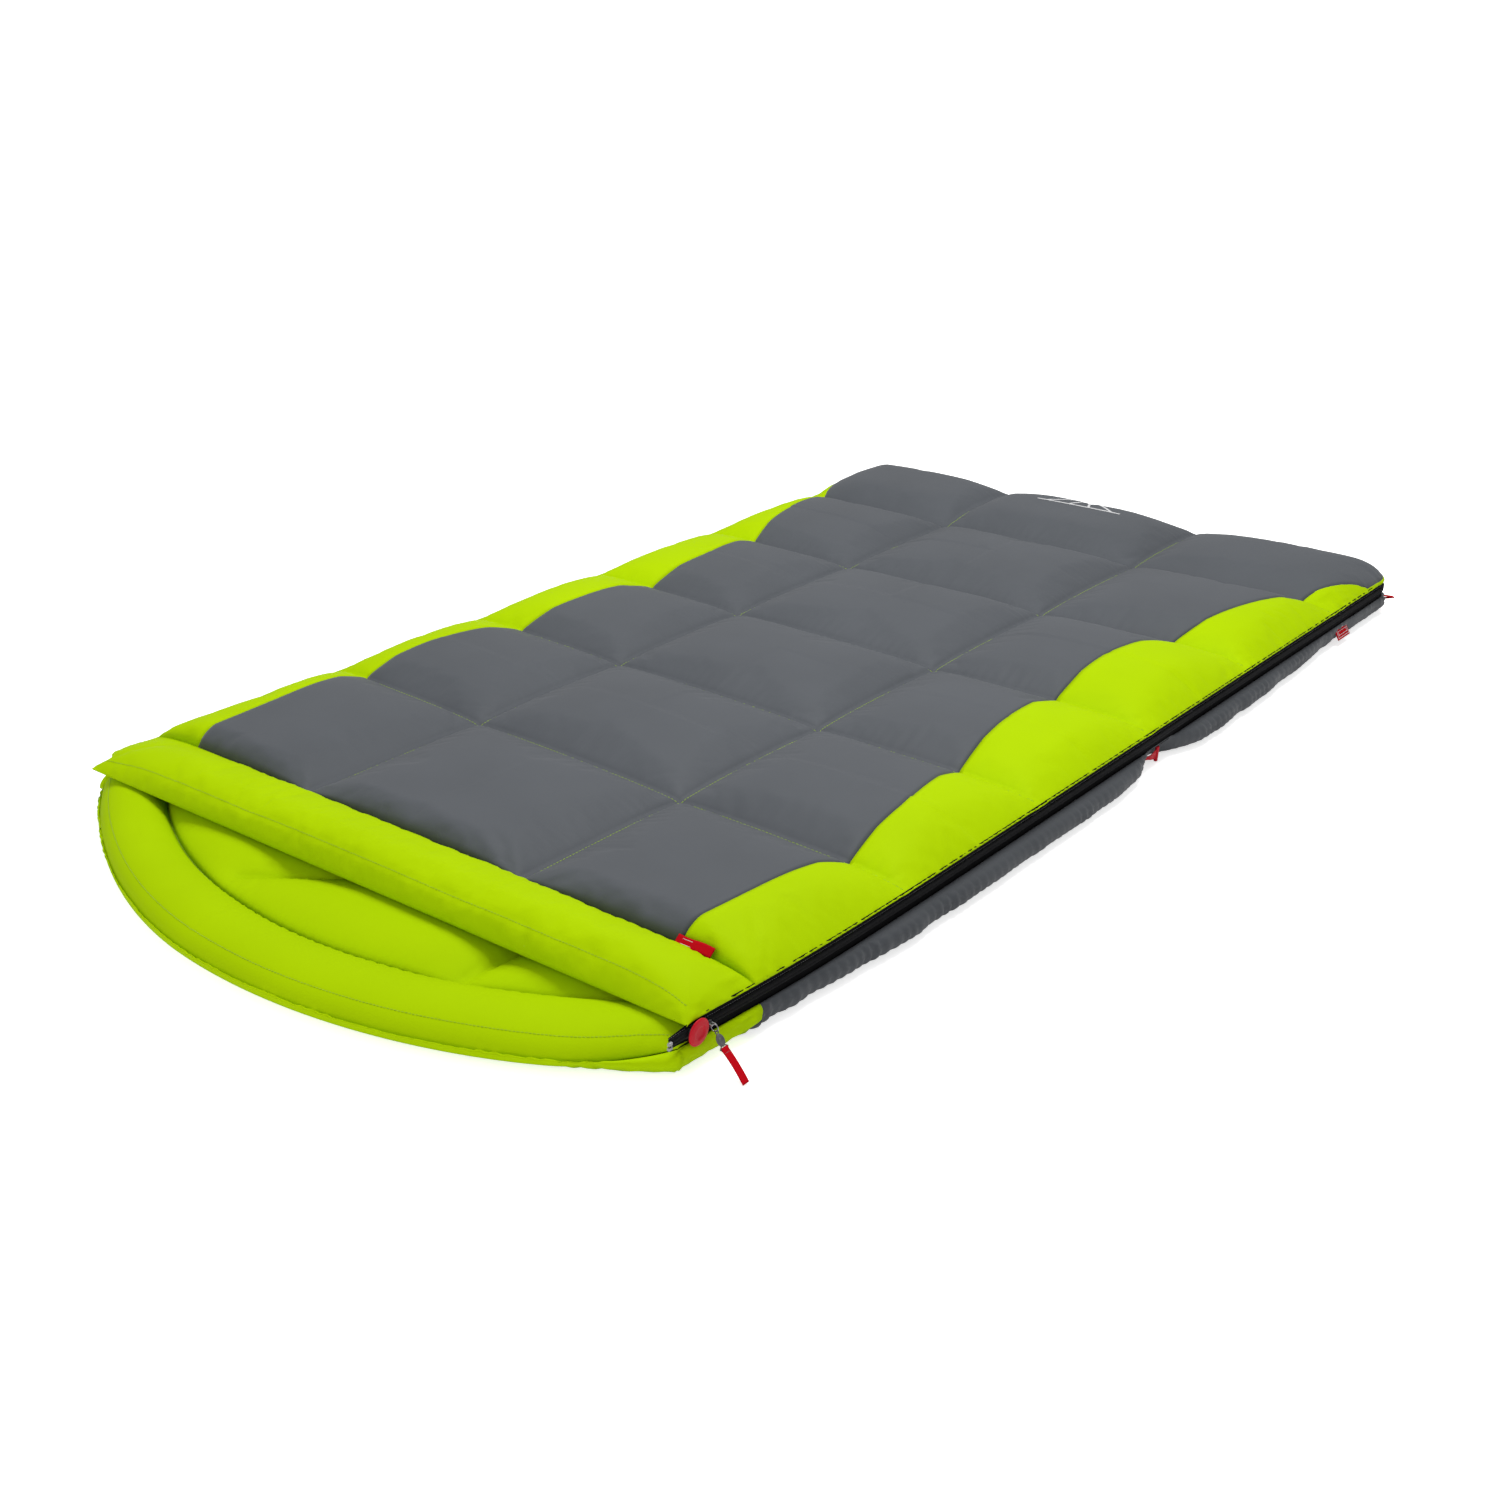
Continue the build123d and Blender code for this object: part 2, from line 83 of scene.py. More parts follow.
EDGE_UP = 0.0565  # height of the sewn edge above and below the zip
EDGE_DOWN = 0.0315
PUFF_UP = 0.0895
SEAM_UP = 0.0615
CEILING = 0.0925  # the cloth flattens out smoothly above this height
CEILING_SPAN = 0.0085
BULGE = 0.0255  # how far the lower side wall swells
WALL_DEPTH = 0.034  # width of cloth that forms the side wall
LINING_UP = 0.0530  # heights of the linings at their sewn lines
LINING_DOWN = 0.0310
CUFF_SEAM_Z = 0.0690
CUFF_CROWN = 0.0905
HEM = 0.014  # from the front edge of the cuff to its stitching
HOOD_FLOOR = 0.0250  # height of the hood's sewn lines
RIM = 0.0120  # height of the hood's front edge
GROUND = 0.0006  # the underside lies just above the floor
MARK = 0.0016  # depth of the line where two cloths are pieced


def smooth(a, b, v):
    """Eased step of v from 0 at a to 1 at b."""
    t = np.clip((v - a) / (b - a), 0, 1)
    return t * t * (3 - 2 * t)


def arch(d, reach, power):
    """Rounded rise from 0 at distance 0 to 1 at the reach."""
    t = np.clip(d / reach, 0, 1)
    return (1 - (1 - t) ** 2) ** power


def wander(s, wavelength, seed):
    """Smooth random curve between -1 and 1 along s."""
    knots = np.random.default_rng(seed).uniform(-1, 1, 4096)
    t = np.asarray(s) / wavelength + 1000.0
    i = np.floor(t).astype(int)
    f = t - i
    f = f * f * (3 - 2 * f)
    return knots[i % 4096] * (1 - f) + knots[(i + 1) % 4096] * f


def ripple(x, y, size, seed):
    """Smooth random field between about -1 and 1 over the plan."""
    total = np.zeros_like(x)
    for k in range(3):
        turn = 0.7 + 1.3 * k
        u = x * math.cos(turn) + y * math.sin(turn)
        v = -x * math.sin(turn) + y * math.cos(turn)
        total += wander(u + 0.6 * size * wander(v, size * 1.7, seed + 9 * k), size, seed + k)
    return total / 2


# ------------------------------------------------ meshes
def mesh_object(name, verts, faces):
    """New object from a vertex array and a list or array of faces."""
    mesh = bpy.data.meshes.new(name)
    mesh.from_pydata(np.asarray(verts, float).reshape(-1, 3).tolist(), [], [list(f) for f in faces])
    mesh.update()
    obj = bpy.data.objects.new(name, mesh)
    bpy.context.scene.collection.objects.link(obj)
    return obj


def grid_faces(rows, cols, keep=None):
    """Quads of a grid of points, row by row."""
    i = np.arange((rows - 1) * cols).reshape(rows - 1, cols)[:, :-1]
    quads = np.stack([i, i + 1, i + 1 + cols, i + cols], -1)
    if keep is not None:
        quads = quads[keep]
    return quads.reshape(-1, 4)


def apply_modifiers(obj):
    """Replaces the mesh by its evaluated form."""
    graph = bpy.context.evaluated_depsgraph_get()
    shown = obj.evaluated_get(graph)
    mesh = bpy.data.meshes.new_from_object(shown, preserve_all_data_layers=True, depsgraph=graph)
    obj.modifiers.clear()
    old = obj.data
    obj.data = mesh
    bpy.data.meshes.remove(old)
    return obj


def drop_loose(obj):
    """Removes vertices that no face uses."""
    used = np.zeros(len(obj.data.vertices), bool)
    index = np.zeros(len(obj.data.loops), int)
    obj.data.loops.foreach_get("vertex_index", index)
    used[index] = True
    co = np.zeros(len(used) * 3)
    obj.data.vertices.foreach_get("co", co)
    new = np.cumsum(used) - 1
    faces = [[int(new[v]) for v in p.vertices] for p in obj.data.polygons]
    mesh = bpy.data.meshes.new(obj.name)
    mesh.from_pydata(co.reshape(-1, 3)[used].tolist(), [], faces)
    old = obj.data
    obj.data = mesh
    bpy.data.meshes.remove(old)
    return obj


def thicken(obj, depth):
    """Turns an open sheet into a closed thin solid that lies behind its face side."""
    solid = obj.modifiers.new("thickness", "SOLIDIFY")
    solid.thickness = depth
    solid.offset = -1
    apply_modifiers(obj)
    shade(obj)
    return obj


def shade(obj):
    """Smooth shading."""
    obj.data.polygons.foreach_set("use_smooth", [True] * len(obj.data.polygons))


def dress(obj, material, body, nodes):
    """Gives a piece its material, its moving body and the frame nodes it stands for."""
    obj.data.materials.clear()
    obj.data.materials.append(material)
    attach(obj, body)
    if nodes:
        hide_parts(*nodes)
    return obj


# ------------------------------------------------ plan of the bag
def wall_x(y):
    """Zip-side wall at y: pulled in at the mouth, full along the bag."""
    ahead = np.clip(np.asarray(y) - MOUTH_Y - 0.03, 0, 10)
    return ZIP_X - (ZIP_X - MOUTH_WALL) * np.exp(-((ahead / 0.16) ** 1.3))


def right_x(y):
    """Zip-side outline at y, with the rounded foot corner."""
    into = np.clip(y - (FOOT_Y - CORNER), 0, CORNER)
    return wall_x(y) - CORNER + np.sqrt(CORNER**2 - into**2)


def left_x(y):
    """Fold-side outline at y, with the rounded foot corner."""
    into = np.clip(y - (FOOT_Y - CORNER), 0, CORNER)
    return FOLD_X + CORNER - np.sqrt(CORNER**2 - into**2)


def round_in(distance, radius):
    """How far a corner of that radius pulls in, at a distance from the end."""
    d = np.clip(distance, 0, radius)
    return radius - np.sqrt(radius**2 - (radius - d) ** 2)


def right_cuff(y):
    """Zip-side outline of the upper half."""
    return right_x(y) - round_in(y - MOUTH_Y, 0.018)


def left_cuff(y):
    """Fold-side outline of the upper half."""
    return left_x(y) - 0.006 * smooth(-0.68, -0.80, y) + round_in(y - MOUTH_Y, 0.016)


def left_hood(y):
    """Fold-side outline of the lower half, which swells out under the cuff's end."""
    return left_x(y) - 0.010 * smooth(-0.72, -0.98, y)


HOOD_SAG = MOUTH_Y - HOOD_Y
HOOD_RADIUS = (MOUTH_WALL**2 + HOOD_SAG**2) / (2 * HOOD_SAG)


def hood_line(x, inset):
    """Curve of the hood's edge, or a curve inset from it."""
    across = np.minimum(np.abs(x), MOUTH_WALL)
    bow = HOOD_RADIUS - np.sqrt((HOOD_RADIUS - inset) ** 2 - across**2)
    return HOOD_Y + bow + HOOD_BACK + HOOD_LEAN * x


def mouth_line(x):
    """Front edge of the upper cuff."""
    return MOUTH_Y + MOUTH_SKEW * x


def cuff_line(x):
    """Seam behind the upper cuff."""
    return CUFF_Y - CUFF_TRIM + SEAM_SKEW * x


def along_breaks(breaks, step):
    """(index of the stretch, share of it) for each point, with points drawn together at both outer ends."""
    out = []
    last = len(breaks) - 2
    for k in range(last + 1):
        n = max(4, int(math.ceil(1.0 / (step / (breaks[k + 1] - breaks[k])))))
        t = np.linspace(0, 1, n + 1)
        if k == 0:
            t = 1 - np.cos(t * math.pi / 2)
        elif k == last:
            t = np.sin(t * math.pi / 2)
        out += [(k, v) for v in t[min(k, 1) :]]
    return out


PIECING_CURVE = (
    (-0.72, 0.402), (-0.66, 0.406), (-0.56, 0.414), (-0.415, 0.426), (-0.30, 0.416),
    (-0.135, 0.391), (0.0, 0.376), (0.155, 0.366), (0.305, 0.363), (0.44, 0.379),
    (0.57, 0.408), (0.74, 0.442), (0.82, 0.462), (0.89, 0.486), (0.99, 0.53),
)


def boundary_x(y):
    """Distance from the centre line to where the centre cloth meets the side cloth."""
    along, across = zip(*PIECING_CURVE)
    return np.interp(y, along, across)


PLAN_ROUNDS = 6


def plan_grid(row_lines, columns):
    """Plan points of a quilted half: row lines give y from x and columns give x from y."""
    mid = [line(0.0) for line in row_lines]
    rows = along_breaks(mid, STEP)
    widths = [c(0.0) for c in columns]
    cols = along_breaks(widths, STEP)
    Y = np.array([mid[k] * (1 - t) + mid[k + 1] * t for k, t in rows])[:, None] + np.zeros(len(cols))
    X = np.zeros_like(Y)
    for _ in range(PLAN_ROUNDS):
        for j, (k, t) in enumerate(cols):
            X[:, j] = columns[k](Y[:, j]) * (1 - t) + columns[k + 1](Y[:, j]) * t
        for i, (k, t) in enumerate(rows):
            Y[i] = row_lines[k](X[i]) * (1 - t) + row_lines[k + 1](X[i]) * t
    row_of = np.array([k for k, t in rows])
    col_of = np.array([k for k, t in cols])
    return X, Y, row_of, col_of


def flat(y):
    """A row line straight across the bag."""
    return lambda x: y + 0 * x


def outline(X, Y, front):
    """Distances in from the sides and from the mouth-end line, and the outward direction."""
    near_right, near_left, near_foot = wall_x(Y) - X, X - FOLD_X, FOOT_Y - Y
    slope = (front(X + 0.001) - front(X - 0.001)) / 0.002
    lean = np.sqrt(1 + slope**2)
    near_front = (Y - front(X)) / lean
    soft = 0.03
    gaps = (near_right, near_left, near_foot, near_front)
    weight = np.stack([np.exp(-np.clip(d, 0, 1) / soft) for d in gaps])
    normal_x = weight[0] - weight[1] + weight[3] * slope / lean
    normal_y = weight[2] - weight[3] / lean
    length = np.sqrt(normal_x**2 + normal_y**2) + 1e-9
    corner_r = np.hypot(X - (ZIP_X - CORNER), Y - (FOOT_Y - CORNER))
    corner_l = np.hypot(X - (FOLD_X + CORNER), Y - (FOOT_Y - CORNER))
    in_r = (X > ZIP_X - CORNER) & (Y > FOOT_Y - CORNER)
    in_l = (X < FOLD_X + CORNER) & (Y > FOOT_Y - CORNER)
    side = np.minimum(np.minimum(near_right, near_left), near_foot)
    side = np.where(in_r, CORNER - corner_r, np.where(in_l, CORNER - corner_l, side))
    return np.clip(side, 0, 1), np.clip(near_front, 0, 1), normal_x / length, normal_y / length


def nearest(v, lines):
    """Distance to the nearest of some lines, and which one."""
    d = np.stack([np.abs(v - s) for s in lines])
    return d.min(0), d.argmin(0)


def puckers(along, away, reach, seed, wavelength=0.013):
    """Small folds that run away from a sewn line and fade out."""
    phase = along / wavelength * 2 * math.pi + 2.2 * wander(along, wavelength * 3, seed)
    strength = 0.35 + 0.65 * np.clip(wander(along, 0.05, seed + 1) + 0.25, 0, 1)
    return np.sin(phase) * strength * np.exp(-away / reach) * (1 - np.exp(-away / 0.0022))


def quilt(X, Y, seams_x, seams_y, seam_z, puff_z, seed, pucker, crease):
    """Height of a quilted sheet: pillows between sewn lines, a crease and puckers at each line."""
    dx, ix = nearest(X, seams_x)
    dy, iy = nearest(Y, seams_y)
    sign = 1 if puff_z > seam_z else -1
    rise_x, rise_y = arch(dx, 0.155, 0.62), arch(dy, 0.146, 0.62)
    fullness = 1 + 0.06 * wander(ix * 3.1 + iy * 1.7 + np.sign(X) * 5, 1.0, seed)
    lift = 0.20 * (rise_x + rise_y - 2 * rise_x * rise_y)
    z = seam_z + (puff_z - seam_z) * (rise_x * rise_y * fullness + lift * (1 - rise_x * rise_y))
    z -= sign * crease * (np.exp(-((dx / 0.0055) ** 2)) + np.exp(-((dy / 0.0055) ** 2)) * 0.8)
    z += sign * pucker * (puckers(Y, dx, 0.017, seed + 20) + 0.75 * puckers(X, dy, 0.015, seed + 40, 0.015))
    z += sign * 0.0009 * ripple(X, Y, 0.11, seed + 60) * rise_x * rise_y
    return z


# ------------------------------------------------ upper half: outer cloth
columns_up = [
    left_cuff,
    lambda y: np.maximum(-boundary_x(y), left_cuff(y) + 0.0015),
    flat(SEAMS_X[0]),
    flat(SEAMS_X[1]),
    lambda y: np.minimum(boundary_x(y), right_cuff(y) - 0.0015),
    right_cuff,
]
row_lines_up = [mouth_line, cuff_line] + [flat(y) for y in SEAMS_Y] + [flat(FOOT_Y)]
XU, YU, ROW_U, COL_U = plan_grid(row_lines_up, columns_up)


def corner_folds(X, Y, corner, reach, seed, count=9):
    """Folds that fan out from a gathered corner."""
    dx, dy = X - corner[0], Y - corner[1]
    away = np.hypot(dx, dy)
    angle = np.arctan2(dy, dx)
    fan = np.cos(count * angle + 1.5 * wander(angle, 0.5, seed))
    return fan * np.exp(-away / reach) * arch(away, 0.02, 1.0)


def upper_outside():
    """Points of the outer cloth of the upper half, cuff included."""
    side, front, nx, ny = outline(XU, YU, mouth_line)
    side = np.minimum(side, np.minimum(XU - left_cuff(YU), right_cuff(YU) - XU))
    side = np.clip(side, 0, 1)
    z = quilt(XU, YU, SEAMS_X, SEAMS_Y, SEAM_UP, PUFF_UP, 3, 0.0013, 0.0030)
    far_corner = smooth(0.70, 0.90, YU) * smooth(0.30, -0.15, XU)
    z += 0.011 * far_corner * arch(np.abs(YU - SEAMS_Y[-1]), 0.10, 0.8)
    behind = YU - cuff_line(XU)
    z_body = 0.0700 + (z - 0.0700) * arch(np.clip(behind, 0, 1), 0.026, 0.42)
    inside_cuff = np.clip(-behind, 0, 1)
    crown = CUFF_CROWN + 0.0015 * ripple(XU, YU, 0.13, 90)
    crown -= 0.022 * np.exp(-(XU - FOLD_X) / 0.09)
    z_cuff = CUFF_SEAM_Z + (crown - CUFF_SEAM_Z) * arch(inside_cuff, 0.068, 0.55)
    z_cuff += 0.0010 * puckers(XU, inside_cuff, 0.02, 95, 0.017)
    z_cuff -= MARK * np.exp(-(((front - HEM) / 0.003) ** 2))
    z_cuff += 0.0060 * corner_folds(XU, YU, (FOLD_X, MOUTH_Y + MOUTH_SKEW * FOLD_X), 0.065, 201)
    z_cuff += 0.0030 * corner_folds(XU, YU, (MOUTH_WALL, MOUTH_Y + MOUTH_SKEW * MOUTH_WALL), 0.03, 205)
    z = np.where(behind >= 0, z_body, z_cuff)
    piecing = np.abs(np.abs(XU) - boundary_x(YU))
    z -= MARK * np.exp(-((piecing / 0.004) ** 2)) * (behind > 0)
    z = EDGE_UP + (z - EDGE_UP) * arch(side, 0.105, 0.52)
    z = 0.0525 + (z - 0.0525) * arch(front, 0.046, 0.5)
    z += 0.0007 * puckers(YU, side, 0.012, 70, 0.011)
    out = 0.0024 * np.exp(-side / 0.004)
    return np.stack([XU + nx * out, YU + ny * out * (front > 0.01), z], -1)


UP = upper_outside()


SAME_PLACE = 1e-5


def cell_faces(rows, cols, chosen_rows, chosen_cols):
    """Faces of the grid whose stretch numbers are in the chosen sets."""
    r = np.isin(rows[1:], chosen_rows)
    c = np.isin(cols[1:], chosen_cols)
    return r[:, None] & c[None, :]


def sheet(name, points, keep, flip, depth):
    """A thin closed cloth from part of a grid of points."""
    faces = grid_faces(points.shape[0], points.shape[1], keep)
    corners = points.reshape(-1, 3)[faces[:, :2]]
    faces = faces[np.linalg.norm(corners[:, 0] - corners[:, 1], axis=1) > SAME_PLACE]
    if flip:
        faces = faces[:, ::-1]
    obj = mesh_object(name, points, faces)
    drop_loose(obj)
    return thicken(obj, depth)


# ------------------------------------------------ cloth simulation
SETTLE_FRAMES = 18
SETTLE_CAP = 0.006  # no point may move further than this
GROWTH = 0.012  # share by which the cloth is cut full
PRESSURE = 2.0


def settled(points, pinned):
    """Points of a grid of cloth after it has settled with its sewn lines held."""
    obj = mesh_object("settling", points, grid_faces(points.shape[0], points.shape[1]))
    group = obj.vertex_groups.new(name="sewn")
    group.add(np.flatnonzero(pinned.ravel()).tolist(), 1.0, "REPLACE")
    cloth = obj.modifiers.new("cloth", "CLOTH")
    cloth.settings.quality = 5
    cloth.settings.mass = 0.15
    cloth.settings.tension_stiffness = 12
    cloth.settings.compression_stiffness = 8
    cloth.settings.shear_stiffness = 4
    cloth.settings.bending_stiffness = 0.12
    cloth.settings.vertex_group_mass = "sewn"
    cloth.settings.shrink_min = -GROWTH
    cloth.settings.use_pressure = True
    cloth.settings.uniform_pressure_force = PRESSURE
    cloth.settings.effector_weights.gravity = 0
    cloth.point_cache.frame_start = 1
    cloth.point_cache.frame_end = SETTLE_FRAMES
    scene = bpy.context.scene
    for f in range(1, SETTLE_FRAMES + 1):
        scene.frame_set(f)
    graph = bpy.context.evaluated_depsgraph_get()
    mesh = obj.evaluated_get(graph).data
    co = np.zeros(len(mesh.vertices) * 3)
    mesh.vertices.foreach_get("co", co)
    scene.frame_set(1)
    bpy.data.objects.remove(obj)
    move = co.reshape(points.shape) - points
    length = np.linalg.norm(move, axis=-1, keepdims=True)
    move *= np.minimum(1, SETTLE_CAP / np.maximum(length, 1e-9))
    move[~np.isfinite(move)] = 0
    return points + move


# ------------------------------------------------ materials
def new_material(name):
    """New node material, its tree and its surface node."""
    material = bpy.data.materials.new(name)
    material.use_nodes = True
    tree = material.node_tree
    return material, tree, tree.nodes["Principled BSDF"]


def node(tree, kind, **values):
    """A node with its settings and unlinked inputs filled in."""
    made = tree.nodes.new(kind)
    for key, value in values.items():
        if key in made.inputs:
            made.inputs[key].default_value = value
        else:
            setattr(made, key, value)
    return made


def cloth_material(name, base, rough=0.62, sheen=0.25, weave=2600.0, variation=0.12, bump=0.10, gloss=0.25):
    """Woven polyester: fine crossed threads, slow colour drift and a soft sheen."""
    material, tree, bsdf = new_material(name)
    link = tree.links.new
    place = node(tree, "ShaderNodeTexCoord")
    warp = node(tree, "ShaderNodeTexWave", Scale=weave / 6.28, Distortion=0.4, Detail=1.0)
    warp.bands_direction = "X"
    weft = node(tree, "ShaderNodeTexWave", Scale=weave / 6.28, Distortion=0.4, Detail=1.0)
    weft.bands_direction = "Y"
    drift = node(tree, "ShaderNodeTexNoise", Scale=7.0, Detail=3.0)
    fleck = node(tree, "ShaderNodeTexNoise", Scale=900.0, Detail=2.0)
    for made in (warp, weft, drift, fleck):
        link(place.outputs["Object"], made.inputs["Vector"])
    cross = node(tree, "ShaderNodeMath", operation="MULTIPLY")
    link(warp.outputs["Fac"], cross.inputs[0])
    link(weft.outputs["Fac"], cross.inputs[1])
    mix = node(tree, "ShaderNodeMath", operation="ADD")
    link(cross.outputs[0], mix.inputs[0])
    link(fleck.outputs["Fac"], mix.inputs[1])
    dark = node(tree, "ShaderNodeMix", data_type="RGBA")
    dark.inputs["A"].default_value = (*[c * (1 - variation) for c in base], 1)
    dark.inputs["B"].default_value = (*[min(1, c * (1 + variation)) for c in base], 1)
    blend = node(tree, "ShaderNodeMath", operation="MULTIPLY_ADD")
    blend.inputs[1].default_value = 0.35
    link(mix.outputs[0], blend.inputs[0])
    link(drift.outputs["Fac"], blend.inputs[2])
    shift = node(tree, "ShaderNodeMath", operation="SUBTRACT")
    link(blend.outputs[0], shift.inputs[0])
    shift.inputs[1].default_value = 0.3
    link(shift.outputs[0], dark.inputs["Factor"])
    link(dark.outputs["Result"], bsdf.inputs["Base Color"])
    relief = node(tree, "ShaderNodeBump", Strength=bump, Distance=0.0004)
    link(mix.outputs[0], relief.inputs["Height"])
    link(relief.outputs["Normal"], bsdf.inputs["Normal"])
    bsdf.inputs["Roughness"].default_value = rough
    bsdf.inputs["Sheen Weight"].default_value = sheen
    bsdf.inputs["Sheen Roughness"].default_value = 0.5
    bsdf.inputs["Specular IOR Level"].default_value = gloss
    return material


def hard_material(name, base, rough, metal, speck=0.15, scale=400.0, bump=0.05, gloss=0.5):
    """Moulded or cast surface with small variation in colour, roughness and relief."""
    material, tree, bsdf = new_material(name)
    link = tree.links.new
    place = node(tree, "ShaderNodeTexCoord")
    noise = node(tree, "ShaderNodeTexNoise", Scale=scale, Detail=4.0)
    link(place.outputs["Object"], noise.inputs["Vector"])
    mix = node(tree, "ShaderNodeMix", data_type="RGBA")
    mix.inputs["A"].default_value = (*[c * (1 - speck) for c in base], 1)
    mix.inputs["B"].default_value = (*[min(1, c * (1 + speck)) for c in base], 1)
    link(noise.outputs["Fac"], mix.inputs["Factor"])
    link(mix.outputs["Result"], bsdf.inputs["Base Color"])
    spread = node(tree, "ShaderNodeMapRange")
    spread.inputs["To Min"].default_value = rough * 0.8
    spread.inputs["To Max"].default_value = rough * 1.2
    link(noise.outputs["Fac"], spread.inputs["Value"])
    link(spread.outputs["Result"], bsdf.inputs["Roughness"])
    relief = node(tree, "ShaderNodeBump", Strength=bump, Distance=0.0003)
    link(noise.outputs["Fac"], relief.inputs["Height"])
    link(relief.outputs["Normal"], bsdf.inputs["Normal"])
    bsdf.inputs["Metallic"].default_value = metal
    bsdf.inputs["Specular IOR Level"].default_value = gloss
    return material


LIME = (0.378, 0.568, 0.0003)
GREY = (0.073, 0.080, 0.090)
# Painted shade: share to which the grey of the lower side walls is darkened, standing in for the shade on the
# walls.
WALL_PAINTED_SHADE = 0.68
m_grey = cloth_material("grey_shell_cloth", GREY, sheen=0.10, gloss=0.18)
m_lime = cloth_material("lime_shell_cloth", LIME, sheen=0.0, variation=0.06, gloss=0.02)
LINING = (0.355, 0.538, 0.0003)
m_lining = cloth_material("lime_lining_cloth", LINING, rough=0.7, sheen=0.0, variation=0.06, gloss=0.02)
m_batting = cloth_material("batting_fibre", (0.82, 0.82, 0.80), rough=0.9, weave=400.0, bump=0.5)
TAPE = (0.0035, 0.0035, 0.004)
m_tape = cloth_material("zip_tape_weave", TAPE, 0.85, sheen=0.0, weave=4200.0, variation=0.3, gloss=0.05)
m_coil = hard_material("zip_coil_nylon", (0.005, 0.005, 0.006), 0.5, 0.0, gloss=0.25)
m_red = hard_material("red_moulded", (0.50, 0.002, 0.014), 0.5, 0.0, speck=0.06, gloss=0.2)
RED = (0.44, 0.0015, 0.007)
m_ribbon = cloth_material("red_ribbon_weave", RED, 0.7, sheen=0.0, weave=5200.0, variation=0.1, gloss=0.04)
m_steel = hard_material("slider_cast", (0.30, 0.30, 0.31), 0.36, 0.9, bump=0.1)
m_pull = hard_material("pull_gunmetal", (0.14, 0.14, 0.145), 0.42, 0.8, bump=0.1)
m_black = hard_material("blackened_metal", (0.02, 0.02, 0.022), 0.4, 0.6)
m_thread = cloth_material("lime_thread", (0.30, 0.46, 0.01), rough=0.8, weave=6000.0)
m_white = cloth_material("pale_thread", (0.62, 0.62, 0.63), rough=0.8, weave=6000.0)
m_row = cloth_material("tape_thread", (0.10, 0.10, 0.11), rough=0.8, weave=6000.0)


LIME_END = -0.715  # where the lime piece of the lower wall ends, at the ground
SEAM_BOW = 0.9  # how far that end leans back with height
SEAM_SPAN = 0.2  # the colour ramp covers this far to each side of it
# Painted shade: near-black colour of the thin line drawn along the seam between the lime and grey pieces.
SEAM_PAINTED_SHADE = (0.004, 0.005, 0.006, 1)


def two_tone_and_painted_shade(name):
    """Grey wall cloth with a lime piece at the mouth, divided by a curved seam drawn as a thin dark line of
    painted shade; the grey is darkened by painted shade for the side walls.
    """
    material = m_grey.copy()
    material.name = name
    tree = material.node_tree
    link = tree.links.new
    bsdf = tree.nodes["Principled BSDF"]
    grey = bsdf.inputs["Base Color"].links[0].from_socket
    place = node(tree, "ShaderNodeTexCoord")
    parts = node(tree, "ShaderNodeSeparateXYZ")
    link(place.outputs["Object"], parts.inputs[0])
    bow = node(tree, "ShaderNodeMath", operation="MULTIPLY_ADD")
    bow.inputs[1].default_value = SEAM_BOW
    bow.inputs[2].default_value = LIME_END
    link(parts.outputs["Z"], bow.inputs[0])
    beyond = node(tree, "ShaderNodeMath", operation="SUBTRACT")
    link(parts.outputs["Y"], beyond.inputs[0])
    link(bow.outputs[0], beyond.inputs[1])
    ramp = node(tree, "ShaderNodeValToRGB")
    lime = (*LIME, 1)
    ramp.color_ramp.elements[1].position = 0.506
    ramp.color_ramp.elements[0].color = lime
    # The ramp runs lime, then a thin line of painted shade at the seam, then grey.
    for position, colour in ((0.496, lime), (0.498, SEAM_PAINTED_SHADE), (0.504, SEAM_PAINTED_SHADE)):
        ramp.color_ramp.elements.new(position).color = colour
    spread = node(tree, "ShaderNodeMapRange")
    spread.inputs["From Min"].default_value = -SEAM_SPAN
    spread.inputs["From Max"].default_value = SEAM_SPAN
    link(beyond.outputs[0], spread.inputs["Value"])
    link(spread.outputs["Result"], ramp.inputs["Fac"])
    choose = node(tree, "ShaderNodeMix", data_type="RGBA")
    past = node(tree, "ShaderNodeMath", operation="GREATER_THAN")
    past.inputs[1].default_value = 0.505
    link(spread.outputs["Result"], past.inputs[0])
    link(past.outputs[0], choose.inputs["Factor"])
    link(ramp.outputs["Color"], choose.inputs["A"])
    # Painted shade: the wall's grey is multiplied by the painted shade share.
    painted_shade_mix = node(tree, "ShaderNodeMix", data_type="RGBA", blend_type="MULTIPLY")
    painted_shade_mix.inputs["Factor"].default_value = 1.0
    painted_shade_mix.inputs["B"].default_value = (WALL_PAINTED_SHADE, WALL_PAINTED_SHADE, WALL_PAINTED_SHADE, 1)
    link(grey, painted_shade_mix.inputs["A"])
    link(painted_shade_mix.outputs["Result"], choose.inputs["B"])
    link(choose.outputs["Result"], bsdf.inputs["Base Color"])
    return material


m_wall = two_tone_and_painted_shade("lower_shell_cloth")

# ------------------------------------------------ build the upper half
held = np.zeros(XU.shape, bool)
held[0] = held[-1] = True
held[:, 0] = held[:, -1] = True
on_row = np.flatnonzero(np.diff(ROW_U) > 0)
on_col = np.flatnonzero(np.diff(COL_U) > 0)
held[on_row] = True
sewn_cols = on_col[1:3]  # the two sewn lines along the bag lie between the two piecing lines
held[:, sewn_cols] = True
UP = settled(UP, held)
over = np.maximum(UP[..., 2] - CEILING, 0)
UP[..., 2] += CEILING_SPAN * (1 - np.exp(-over / CEILING_SPAN)) - over

